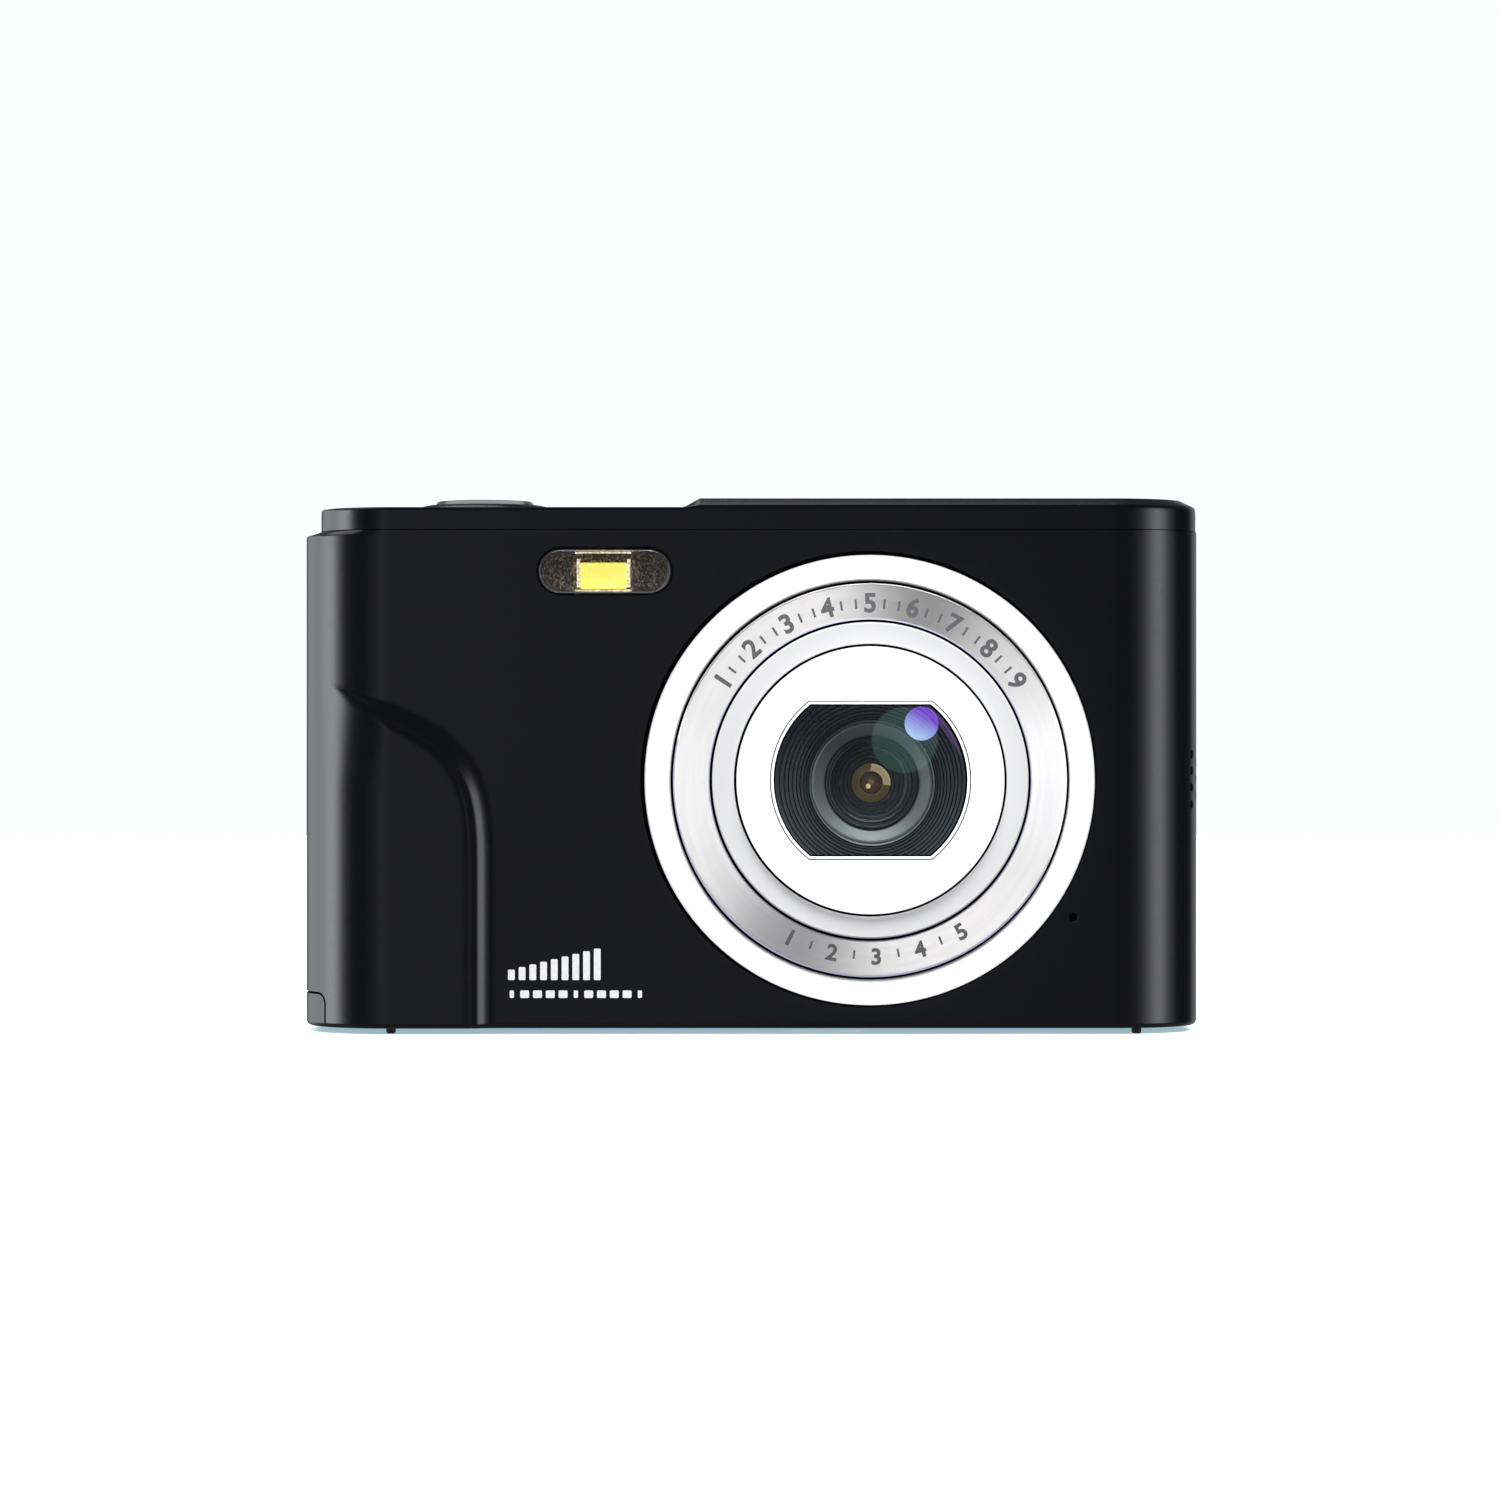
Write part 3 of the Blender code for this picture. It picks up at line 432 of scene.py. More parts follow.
def radial(tree, centre_x, centre_z):
    """(radius in mm, angle as a share of a turn) round an axis along Y."""
    parts = add(tree, "SeparateXYZ", Vector=here(tree))
    across = maths(tree, "MULTIPLY_ADD", parts.outputs[0], 1 / MM, -centre_x)
    up = maths(tree, "MULTIPLY_ADD", parts.outputs[2], 1 / MM, -centre_z)
    flat = add(tree, "CombineXYZ", i0=across, i1=up)
    length = add(tree, "VectorMath", {"operation": "LENGTH"}, i0=flat.outputs[0]).outputs["Value"]
    angle = maths(tree, "ARCTAN2", up, across)
    return length, maths(tree, "DIVIDE", angle, 2 * math.pi)


def body_black():
    """Satin black paint: a breath of blue, faint mottling of its gloss and a very fine grain."""
    material, tree, shader = start("body_black")
    broad, fine = noise(tree, 35.0, 2.0), noise(tree, 2600.0, 3.0)
    wire(tree, shader,
         Base_Color=two_tone(tree, broad, (0.0026, 0.0033, 0.0068), (0.0034, 0.0041, 0.0078)),
         Roughness=spread(tree, fine, 0.19, 0.25), IOR=1.5,
         Normal=relief(tree, fine, 0.0006))
    return material


def satin_silver(name, tone, roughness=0.34, metallic=0.35):
    """Blasted and anodised aluminium: bright, nearly white, with a fine grain."""
    material, tree, shader = start(name)
    broad, fine = noise(tree, 90.0, 3.0), noise(tree, 3500.0, 4.0)
    darker = tuple(0.97 * part for part in tone)
    wire(tree, shader,
         Base_Color=two_tone(tree, broad, darker, tone),
         Roughness=spread(tree, fine, roughness * 0.9, roughness * 1.1), Metallic=metallic,
         Normal=relief(tree, fine, 0.0012))
    return material


def spun_silver():
    """The spun front of the scale ring: bright metal with concentric tool marks that fan the light out."""
    material, tree, shader = start("spun_silver")
    radius, turn = radial(tree, LENS_X, LENS_Z)
    place = add(tree, "CombineXYZ", i0=radius, i1=maths(tree, "MULTIPLY", turn, 9.0)).outputs[0]
    marks = add(tree, "TexNoise", Vector=place, Scale=7.0, Detail=4.0).outputs[0]
    wide = add(tree, "TexNoise", Vector=place, Scale=1.3, Detail=2.0).outputs[0]
    tangent = add(tree, "Tangent", {"direction_type": "RADIAL", "axis": "Y"}).outputs[0]
    wire(tree, shader,
         Base_Color=two_tone(tree, wide, (0.86, 0.84, 0.83), (0.93, 0.92, 0.91)),
         Roughness=spread(tree, marks, 0.30, 0.42), Metallic=1.0, Anisotropic=0.85,
         Anisotropic_Rotation=0.25, Tangent=tangent, Normal=relief(tree, marks, 0.006))
    return material


def coated_glass(name, tint, coat, gain, blur):
    """Clear glass as seen through a thin pane: it passes light, and reflects it in its coating's colour."""
    material, tree, shader = start(name)
    tree.nodes.remove(shader)
    smear = noise(tree, 220.0, 4.0)
    sight = add(tree, "Fresnel", IOR=1.45).outputs[0]
    share = maths(tree, "MULTIPLY_ADD", sight, gain, 0.0, clamp=True)
    clear = add(tree, "BsdfTransparent", Color=(*tint, 1.0))
    gloss = add(tree, "BsdfAnisotropic", Color=(*coat, 1.0), Roughness=spread(tree, smear, *blur))
    finish_with(tree, add(tree, "MixShader", i0=share, i1=clear.outputs[0], i2=gloss.outputs[0]))
    return material


def film(name, first, second, centre_x, centre_z, direction, start_at, end_at):
    """Painted glare of a coating: clear, glowing in a tint that changes along a direction in the XZ plane."""
    material, tree, shader = start(name)
    tree.nodes.remove(shader)
    shifted = add(tree, "VectorMath", {"operation": "SUBTRACT"}, i0=here(tree),
                  i1=(centre_x * MM, 0.0, centre_z * MM)).outputs[0]
    along = add(tree, "VectorMath", {"operation": "DOT_PRODUCT"}, i0=shifted,
                i1=(direction[0] / MM, 0.0, direction[1] / MM)).outputs["Value"]
    share = maths(tree, "ADD", along, spread(tree, noise(tree, 900.0), -0.06, 0.06))
    tone = blend_colour(tree, spread(tree, share, 0.0, 1.0, start_at, end_at), first, second)
    clear = add(tree, "BsdfTransparent", Color=(1.0, 1.0, 1.0, 1.0))
    glow = add(tree, "Emission", Color=tone, Strength=0.5)
    finish_with(tree, add(tree, "AddShader", i0=clear.outputs[0], i1=glow.outputs[0]))
    return material


def flash_metal(name, dark, light, crazing, glow=0.0):
    """Vacuum-metallised reflector with the crazed texture that scatters the flash; a glow above nought makes
    it shine by itself, a painted highlight.
    """
    material, tree, shader = start(name)
    cells = add(tree, "TexVoronoi", Vector=here(tree), Scale=4200.0).outputs["Distance"]
    fine = noise(tree, 3600.0, 3.0)
    height = maths(tree, "ADD", cells, fine)
    tone = blend_colour(tree, spread(tree, fine, 0.0, 1.0, 0.46, 0.64), dark, light)
    wire(tree, shader, Base_Color=tone, Roughness=0.3, Metallic=0.5, Emission_Color=tone,
         Emission_Strength=glow, Normal=relief(tree, height, crazing))
    return material


def circuit_green():
    """Solder mask over copper: green with lighter tracks and small bright pads."""
    material, tree, shader = start("circuit_green")
    place = here(tree)
    tracks = add(tree, "TexBrick", {"offset": 0.5}, Vector=add(
        tree, "Mapping", Vector=place, Rotation=(math.pi / 2, 0, 0)).outputs[0],
        Scale=500.0, Mortar_Size=0.09).outputs["Fac"]
    pads = add(tree, "TexVoronoi", Vector=place, Scale=700.0).outputs["Distance"]
    dots = maths(tree, "LESS_THAN", pads, 0.16)
    green = blend_colour(tree, tracks, (0.010, 0.085, 0.035), (0.022, 0.15, 0.07))
    wire(tree, shader, Base_Color=blend_colour(tree, dots, green, (0.75, 0.62, 0.30)),
         Roughness=spread(tree, dots, 0.42, 0.25, 0.0, 1.0), Metallic=dots, Normal=relief(tree, tracks, 0.02))
    return material


def screen_black():
    """The display behind its glass: black mask, a slightly lighter lit area and its pixel rows."""
    material, tree, shader = start("screen_black")
    cells = add(tree, "TexVoronoi", {"distance": "CHEBYCHEV"}, Vector=here(tree), Scale=6000.0,
                Randomness=0.0)
    rows = spread(tree, cells.outputs["Distance"], 0.0, 1.0, 0.2, 0.5)
    wire(tree, shader, Base_Color=blend_colour(tree, rows, (0.010, 0.011, 0.014), (0.016, 0.017, 0.021)),
         Roughness=spread(tree, noise(tree, 80.0), 0.16, 0.22), Coat_Weight=0.4, Coat_Roughness=0.05)
    return material


def led_yellow():
    """Phosphor of the flash chip: yellow in two finely grained tones, glowing by itself, a painted glow as
    the chip is not lit.
    """
    material, tree, shader = start("led_yellow")
    fine = noise(tree, 3000.0, 4.0)
    tone = two_tone(tree, fine, (1.0, 0.90, 0.10), (1.0, 0.97, 0.26))
    wire(tree, shader, Base_Color=tone, Roughness=0.55, Emission_Color=tone, Emission_Strength=1.0,
         Normal=relief(tree, fine, 0.01))
    return material


def print_white():
    material, tree, shader = start("print_white")
    fine = noise(tree, 2500.0, 3.0)
    wire(tree, shader, Base_Color=two_tone(tree, fine, (0.80, 0.80, 0.80), (0.88, 0.88, 0.88)),
         Roughness=spread(tree, fine, 0.45, 0.6), Normal=relief(tree, fine, 0.004))
    return material


M = {
    "body": body_black(),
    "inner": plain("inner_black", (0.012, 0.012, 0.013), (0.018, 0.018, 0.020), 0.55, depth=0.01),
    "bright": satin_silver("bright_silver", (0.95, 0.95, 0.95)),
    "face": satin_silver("face_silver", (0.95, 0.95, 0.955)),
    "spun": spun_silver(),
    "pale": satin_silver("pale_ring", (0.66, 0.66, 0.66), 0.5, 0.0),
    "button": satin_silver("button_silver", (0.62, 0.61, 0.60), 0.24, 1.0),
    "baffle": plain("baffle_black", (0.038, 0.050, 0.055), (0.045, 0.057, 0.063), 0.40, depth=0.001),
    "retainer": plain("retainer_grey", (0.078, 0.085, 0.089), (0.088, 0.095, 0.099), 0.4, 0.2, 2500.0, 0.002),
    "barrel": plain("barrel_black", (0.003, 0.006, 0.007), (0.004, 0.008, 0.010), 0.34, depth=0.0003,
                    Specular_IOR_Level=0.25),
    "pupil": plain("pupil_brown", (0.055, 0.032, 0.038), (0.065, 0.040, 0.044), 0.2, depth=0.0003),
    # Painted glint: a small bright warm spot in the pupil
    "glint": plain("pupil_glint", (0.80, 0.62, 0.38), (0.95, 0.80, 0.55), 0.4, depth=0.001),
    # Painted reflection: a tan patch beside the pupil
    "tan": plain("painted_reflection_tan", (0.30, 0.20, 0.135), (0.36, 0.24, 0.16), 0.5, depth=0.001),
    "screen_glass": plain("screen_glass", (0.006, 0.006, 0.007), (0.008, 0.008, 0.010), 0.06, grain=400.0,
                          depth=0.0003),
    "amber": plain("amber_coat", (0.075, 0.058, 0.036), (0.10, 0.075, 0.046), 0.4, 0.3, 1500.0, 0.0005),
    "pane": coated_glass("window_glass", (0.97, 0.98, 0.98), (0.86, 0.80, 1.0), 0.9, (0.001, 0.003)),
    "element": coated_glass("lens_glass", (0.90, 0.95, 0.93), (0.55, 0.95, 0.85), 0.06, (0.05, 0.08)),
    "inner_element": coated_glass("inner_lens_glass", (0.92, 0.85, 0.72), (1.0, 0.75, 0.45), 0.06,
                                  (0.05, 0.08)),
    # Painted glare: glowing films that stand in for reflections on the lens window's coating
    "glare": film("painted_glare_violet", (0.42, 0.58, 0.92), (0.19, 0.065, 0.62), GLARE_X, GLARE_Z,
                  (0.45, 0.89), -1.5, 0.7),
    "veil": film("painted_glare_green", (0.018, 0.050, 0.038), (0.026, 0.050, 0.050), VEIL_X, VEIL_Z,
                 (0.45, 0.89), -3.0, 3.0),
    "wine": film("painted_glare_wine", (0.0, 0.0, 0.0), (0.10, 0.045, 0.17), LENS_X, LENS_Z,
                 (0.83, 0.56), 8.3, 10.4),
    "acrylic": coated_glass("flash_acrylic", (0.93, 0.93, 0.94), (0.9, 0.92, 1.0), 1.0, (0.01, 0.03)),
    "flash": flash_metal("flash_metal", (0.030, 0.024, 0.021), (0.42, 0.35, 0.30), 0.14),
    # Glows by itself: painted highlights on the flash reflector's folds and edges
    "fold": flash_metal("flash_fold_painted_glow", (0.45, 0.38, 0.22), (1.0, 0.93, 0.72), 0.03, 1.5),
    "rim": plain("flash_rim_grey", (0.30, 0.31, 0.34), (0.42, 0.43, 0.46), 0.4, 0.0, 2500.0, 0.002),
    "led": led_yellow(),
    "screen": screen_black(),
    "circuit": circuit_green(),
    "steel": plain("steel", (0.50, 0.50, 0.51), (0.62, 0.62, 0.63), 0.3, 1.0, 1500.0, 0.003),
    "brass": plain("brass", (0.62, 0.43, 0.16), (0.75, 0.55, 0.24), 0.28, 1.0, 1500.0, 0.003),
    "rubber": plain("rubber", (0.015, 0.015, 0.015), (0.024, 0.024, 0.024), 0.8, grain=1200.0, depth=0.02),
    "wrap": plain("battery_wrap", (0.045, 0.055, 0.075), (0.06, 0.07, 0.095), 0.35, grain=700.0, depth=0.003),
    "key": plain("key_graphite", (0.075, 0.077, 0.082), (0.095, 0.097, 0.102), 0.32, 0.5, 2600.0, 0.002),
    "print": print_white(),
    # Black without gloss for painted shade: dark rings, strips and sheets where gaps, seams, grooves and
    # holes fall into shade
    "painted_shade": plain("painted_shade_black", (0.0008, 0.0008, 0.0008), (0.0012, 0.0012, 0.0012), 0.9,
                  Specular_IOR_Level=0.0),
    "violet": satin_silver("violet_edge", (0.62, 0.62, 0.84)),
    # Dark grey for a painted shade line round the lens window
    "line": plain("shade_line_grey", (0.02, 0.02, 0.02), (0.03, 0.03, 0.03), 0.7, grain=2500.0, depth=0.001),
    "mark": plain("mark_grey", (0.050, 0.050, 0.055), (0.065, 0.065, 0.070), 0.5, grain=2500.0, depth=0.002),
}


# ---------------------------------------------------------------- the grip's raised front

def bezier(controls, segments=40):
    points = []
    for step in range(segments + 1):
        t = step / segments
        weights = ((1 - t) ** 3, 3 * t * (1 - t) ** 2, 3 * t * t * (1 - t), t ** 3)
        points.append(tuple(sum(w * c[k] for w, c in zip(weights, controls)) for k in (0, 1)))
    return points


def grip_edge():
    """The foot of the slope, run on past the left end and straight down to the underside."""
    curve = bezier(GRIP_FOOT)
    return [(curve[0][0] - 6.0, curve[0][1] + 1.0)] + curve + [(curve[-1][0], -5.0)]


GRIP_EDGE = grip_edge()


def inside_grip(x, z):
    """Signed distance of a point from the foot of the slope, positive on the grip's side."""
    best, sign = 1e9, 1.0
    for (ax, az), (bx, bz) in zip(GRIP_EDGE, GRIP_EDGE[1:]):
        dx, dz = bx - ax, bz - az
        t = min(1.0, max(0.0, ((x - ax) * dx + (z - az) * dz) / (dx * dx + dz * dz)))
        distance = math.hypot(x - ax - t * dx, z - az - t * dz)
        if distance < best:
            best = distance
            sign = -1.0 if dx * (z - az) - dz * (x - ax) > 0 else 1.0
    return sign * best


def climb_table(step=0.02):
    """The share of RISE reached at every step of distance, summed from STEEPNESS."""
    heights, along, section = [0.0], 0.0, 0
    while along < STEEPNESS[-1][0]:
        along += step
        while section < len(STEEPNESS) - 2 and along > STEEPNESS[section + 1][0]:
            section += 1
        (d0, s0), (d1, s1) = STEEPNESS[section], STEEPNESS[section + 1]
        heights.append(heights[-1] + step * (s0 + (s1 - s0) * min(1.0, (along - d0) / (d1 - d0))))
    return step, [height / heights[-1] for height in heights]


CLIMB_STEP, CLIMB = climb_table()


def climb(distance):
    place = distance / CLIMB_STEP
    index = int(place)
    if index >= len(CLIMB) - 1:
        return 1.0
    return CLIMB[index] + (CLIMB[index + 1] - CLIMB[index]) * (place - index)


def grip_rise(x, y, z):
    """How far the front stands forward at a point of the plain body."""
    depth = (FRONT_CENTRE_Y - y) / FRONT_RADIUS
    if depth <= 0 or x > GRIP_FOOT[3][0] or z > GRIP_TOP_Z:
        return 0.0
    distance = inside_grip(x, z)
    if distance <= 0:
        return 0.0
    near = min(1.0, max(NARROW_LEAST, (x - GRIP_END) / NARROW_LENGTH))
    narrow = 1.0 - (1.0 - near) ** 2
    end = min(1.0, max(0.0, (x - GRIP_END) / END_LENGTH))
    top = min(1.0, max(0.0, (z - END_FROM_Z) / END_OVER_Z))
    fade = 1.0 - (1.0 - end) * top
    return RISE * fade * climb(distance / narrow) * min(1.0, depth)


# ---------------------------------------------------------------- shells

def outline_front(inset, shoulder, groove):
    """The front half from above, left end first; groove is a small chamfer along the parting line."""
    front, face = FRONT_RADIUS - inset, -BODY_FACE + inset
    back = PARTING_Y - SEAM / 2
    left, right = -BODY_END + inset + shoulder, BODY_END - inset
    slope_start, slope_end = -31.1, -26.5
    before = round((slope_start + FRONT_CENTRE_X) / 0.2)
    dense = [-FRONT_CENTRE_X + 0.2 * step for step in range(1, before + 1)]
    dense += [slope_start + 0.1 * step for step in range(1, round((slope_end - slope_start) / 0.1) + 1)]
    sparse = [slope_end + 4.0 * step for step in range(1, 17)]
    points = [(left + groove, back), (left, back - groove)]
    points += arc(-FRONT_CENTRE_X, FRONT_CENTRE_Y, front - shoulder, front, 180, 270, 36)
    points += [(x, face) for x in dense + sparse if x < FRONT_CENTRE_X]
    points += arc(FRONT_CENTRE_X, FRONT_CENTRE_Y, front, front, 270, 360, 36)
    return points + [(right, back - groove), (right - groove, back)]


def outline_rear(inset, shoulder, groove):
    """The rear half from above, right end first."""
    rear = REAR_RADIUS - inset
    ahead = PARTING_Y + SEAM / 2
    left, right = -BODY_END + inset + shoulder, BODY_END - inset
    points = [(right - groove, ahead), (right, ahead + groove)]
    points += arc(REAR_CENTRE_X, REAR_CENTRE_Y, rear, rear, 0, 90, 18)
    points += arc(-REAR_CENTRE_X, REAR_CENTRE_Y, rear - shoulder, rear, 90, 180, 18)
    return points + [(left, ahead + groove), (left + groove, ahead)]


def shell_levels(dense):
    """(z, inset, shoulder, groove) from the rounded edge of the underside up to the top cover's seam."""
    levels = []
    for step in range(9):
        angle = math.radians(90 * step / 8)
        levels.append((BOTTOM_Z + EDGE * (1 - math.cos(angle)), EDGE * (1 - math.sin(angle)), 0.0))
    if dense:
        straight = GRIP_FOOT[3][1]
        steps = round((GRIP_TOP_Z - straight) / 0.2)
        levels += [(straight + 0.2 * step, 0.0, 0.0) for step in range(steps + 1)]
    crest = SEAM_Z - 0.52
    levels += [(crest - 0.12, 0.0, 0.0), (crest, 0.0, 0.04), (crest + 0.1, 0.0, 0.2),
               (SEAM_Z - 0.12, 0.0, SHOULDER - 0.3), (SEAM_Z - 0.015, 0.01, SHOULDER - 0.04),
               (SEAM_Z, 0.04, SHOULDER)]
    return [(z, inset, shoulder, 0.12) for z, inset, shoulder in levels]


def half_shell(name, outline, dense):
    rings = []
    for z, inset, shoulder, groove in shell_levels(dense):
        rings.append([(x, y - grip_rise(x, y, z), z) for x, y in outline(inset, shoulder, groove)])
    return skin(name, rings)


def whole_outline(inset, shoulder=0.0):
    """Both halves as one outline."""
    return outline_front(inset, shoulder, 0.0)[1:-1] + outline_rear(inset, shoulder, 0.0)[1:-1]


def door_region(clearance, end):
    outline = rounded(DOOR_FRONT_Y - clearance, -20.0, DOOR_REAR_Y + clearance, DOOR_TOP_Z + clearance,
                      1.0 + clearance)
    return prism("tool", outline, -BODY_END - 2, end, "X")


def countersink(axis, across, up, outside, inward, radius, depth, flare=0.12):
    """A round hole from outside inwards with a small chamfer at its mouth."""
    profile = [(0.0, outside - inward), (radius + flare, outside - inward), (radius + flare, outside),
               (radius, outside + flare * inward), (radius, outside + depth * inward),
               (0.0, outside + depth * inward)]
    return turned("tool", profile, (across, up), axis, None, TINY)


def mouth(outline_of, outside, inward, depth, axis="Y", flare=0.15):
    """A shaped hole with a chamfered mouth; outline_of gives the outline grown by a clearance."""
    steps = [(outline_of(flare), outside - inward), (outline_of(flare), outside),
             (outline_of(0.0), outside + flare * inward), (outline_of(0.0), outside + depth * inward)]
    return stepped("tool", steps, axis)


def foot_hole(node):
    low, high = mm_box(node)
    x, y = (low.x + high.x) / 2, (low.y + high.y) / 2 - MID_Y
    return prism("tool", centred(x, y, 1.2, 1.8, 0.5, 4), -1.0, high.z + 0.1, "Z")


def make_front_shell():
    shell = half_shell("front_casing", outline_front, True)
    shell.data.materials.append(M["body"])
    cavity = prism("tool", whole_outline(WALL), FLOOR_Z, SEAM_Z + 5, "Z")
    carve(shell, [cavity])
    tools = [
        door_region(DOOR_SEAM, HINGE_X + DOOR_END_GAP),
        turned("tool", [(0.0, -14), (21.6, -14), (21.6, -BODY_FACE), (21.45, -9.85), (21.45, -5), (0.0, -5)],
               (LENS_X, LENS_Z), "Y", None, RING),
        mouth(lambda grow: centred(FLASH_X, FLASH_Z, 14.34 + 2 * grow, 4.94 + 2 * grow, 2.46 + grow, 12),
              -BODY_FACE, 1, 5),
        countersink("Y", MIC_X, MIC_Z, -BODY_FACE, 1, 0.42, 5),
        turned("tool", [(0.0, -2), (4.4, -2), (4.4, BOTTOM_Z), (4.25, BOTTOM_Z + 0.15), (4.25, 5), (0.0, 5)],
               (TRIPOD_X, TRIPOD_Y), "Z", None, ROUND),
    ]
    for y, count in SPEAKER_ROWS:
        for row in range(count):
            z = SPEAKER_Z + SPEAKER_PITCH * (row - (count - 1) / 2)
            tools.append(countersink("X", y, z, BODY_END, -1, SPEAKER_RADIUS, 5, 0.1))
    for node in SCREWS[2:]:
        centre = middle(node)
        tools.append(countersink("Z", centre.x, centre.y - MID_Y, BOTTOM_Z, 1, 1.4, 6))
    tools += [foot_hole(node) for node in FEET[:2]]
    carve(shell, tools)
    settle(shell, "front_shell")


def make_rear_shell():
    shell = half_shell("rear_casing", outline_rear, False)
    shell.data.materials.append(M["body"])
    carve(shell, [prism("tool", whole_outline(WALL), FLOOR_Z, SEAM_Z + 5, "Z")])
    tools = [
        door_region(DOOR_SEAM, HINGE_X + DOOR_END_GAP),
        mouth(lambda grow: centred(SCREEN_X, SCREEN_Z, 61.9 + 2 * grow, 46.9 + 2 * grow, 1.6 + grow),
              BODY_FACE, -1, 5),
        mouth(lambda grow: centred(PAD_X, ROCKER_Z, 13.4 + 2 * grow, 5.0 + 2 * grow, 2.49 + grow, 12),
              BODY_FACE, -1, 5),
        countersink("Y", PAD_X, PAD_Z, BODY_FACE, -1, 8.35, 5, 0.2),
        mouth(lambda grow: rounded(2.15 - grow, 31.85 - grow, 5.15 + grow, 39.75 + grow, 0.9 + grow, 6),
              -BODY_END, 1, 5, "X", 0.2),
        mouth(lambda grow: rounded(3.4 - grow, 9.6 - grow, 6.2 + grow, 17.2 + grow, 0.8 + grow, 6),
              BODY_END, -1, 2.8, "X", 0.25),
    ]
    for node in ROUND_KEYS:
        centre = middle(node)
        tools.append(countersink("Y", centre.x, centre.z, BODY_FACE, -1, 2.45, 5, 0.15))
    for node, side in zip(SCREWS[:2], (-1, 1)):
        centre = middle(node)
        tools.append(countersink("X", centre.y - MID_Y, centre.z, side * BODY_END, -side, 1.4, 6))
    tools += [foot_hole(node) for node in FEET[2:]]
    carve(shell, tools)
    settle(shell, "rear_shell")
    make_strap_post()


def make_strap_post():
    """The wall behind the strap bar and the bar itself, swelling where it meets the pocket."""
    low, high = mm_box("strap_bar")
    profile = soft([(0.0, low.z), (0.6, low.z), (0.6, low.z + 0.9), (0.45, low.z + 2.0, 0.5),
                    (0.45, high.z - 2.0, 0.5), (0.6, high.z - 0.9), (0.6, high.z), (0.0, high.z)])
    bar = turned("strap_bar_turned", profile, (STRAP_X, STRAP_Y), "Z", M["steel"], TINY)
    settle(bar, "strap_bar")
    wall = block("strap_pocket_wall", (45.0, 2.9, 8.6), (45.3, 6.9, 18.2), M["inner"])
    settle(wall, "rear_shell", False)


# ---------------------------------------------------------------- top cover

COVER_RINGS = (  # inset, height over the grip, height of the raised part
    (1.75, SEAM_Z - 1.6, SEAM_Z - 1.6), (1.75, SEAM_Z + 0.045, SEAM_Z + 0.045),
    (0.16, SEAM_Z + 0.045, SEAM_Z + 0.045), (0.11, SEAM_Z + 0.07, SEAM_Z + 0.07),
    (0.1, SEAM_Z + 0.12, SEAM_Z + 0.12), (0.1, TOP_Z - 0.5, TOP_Z - 0.5),
    (0.105, TOP_Z - 0.34, TOP_Z - 0.3), (0.13, TOP_Z - 0.2, TOP_Z - 0.08), (0.17, TOP_Z - 0.1, TOP_Z + 0.08),
    (0.24, TOP_Z - 0.03, TOP_Z + 0.2), (0.40, TOP_Z, TOP_Z + 0.34), (1.45, TOP_Z, PLATFORM_Z - 0.17),
    (1.60, TOP_Z, PLATFORM_Z - 0.07), (1.75, TOP_Z, PLATFORM_Z - 0.02), (2.00, TOP_Z, PLATFORM_Z))
RAMP_LOW_X, RAMP_HIGH_X, RAMP_STEPS = -7.35, -5.45, 12


def cover_outline(inset, shoulder):
    """The cover from above, with matching columns along the front and the back."""
    front, rear = FRONT_RADIUS - inset, REAR_RADIUS - inset
    ramp = [RAMP_LOW_X + (RAMP_HIGH_X - RAMP_LOW_X) * step / RAMP_STEPS for step in range(RAMP_STEPS + 1)]
    columns = [-36, -32, -28, -24, -20, -16, -12] + ramp + [0, 8, 16, 24, 32]
    points = arc(-FRONT_CENTRE_X, FRONT_CENTRE_Y, max(front - shoulder, 0.4), front, 180, 270, 30)
    points += [(x, -BODY_FACE + inset) for x in columns]
    points += arc(FRONT_CENTRE_X, FRONT_CENTRE_Y, front, front, 270, 360, 30)
    points += arc(REAR_CENTRE_X, REAR_CENTRE_Y, rear, rear, 0, 90, 18)
    points += [(x, BODY_FACE - inset) for x in reversed(columns)]
    points += arc(-REAR_CENTRE_X, REAR_CENTRE_Y, max(rear - shoulder, 0.4), rear, 90, 180, 18)
    return points


def ramp_share(x):
    """0 over the grip, 1 over the raised part, with the ramp's two edges slightly rounded."""
    share = min(1.0, max(0.0, (x - RAMP_LOW_X) / (RAMP_HIGH_X - RAMP_LOW_X)))
    return 0.82 * share + 0.18 * share * share * (3 - 2 * share)


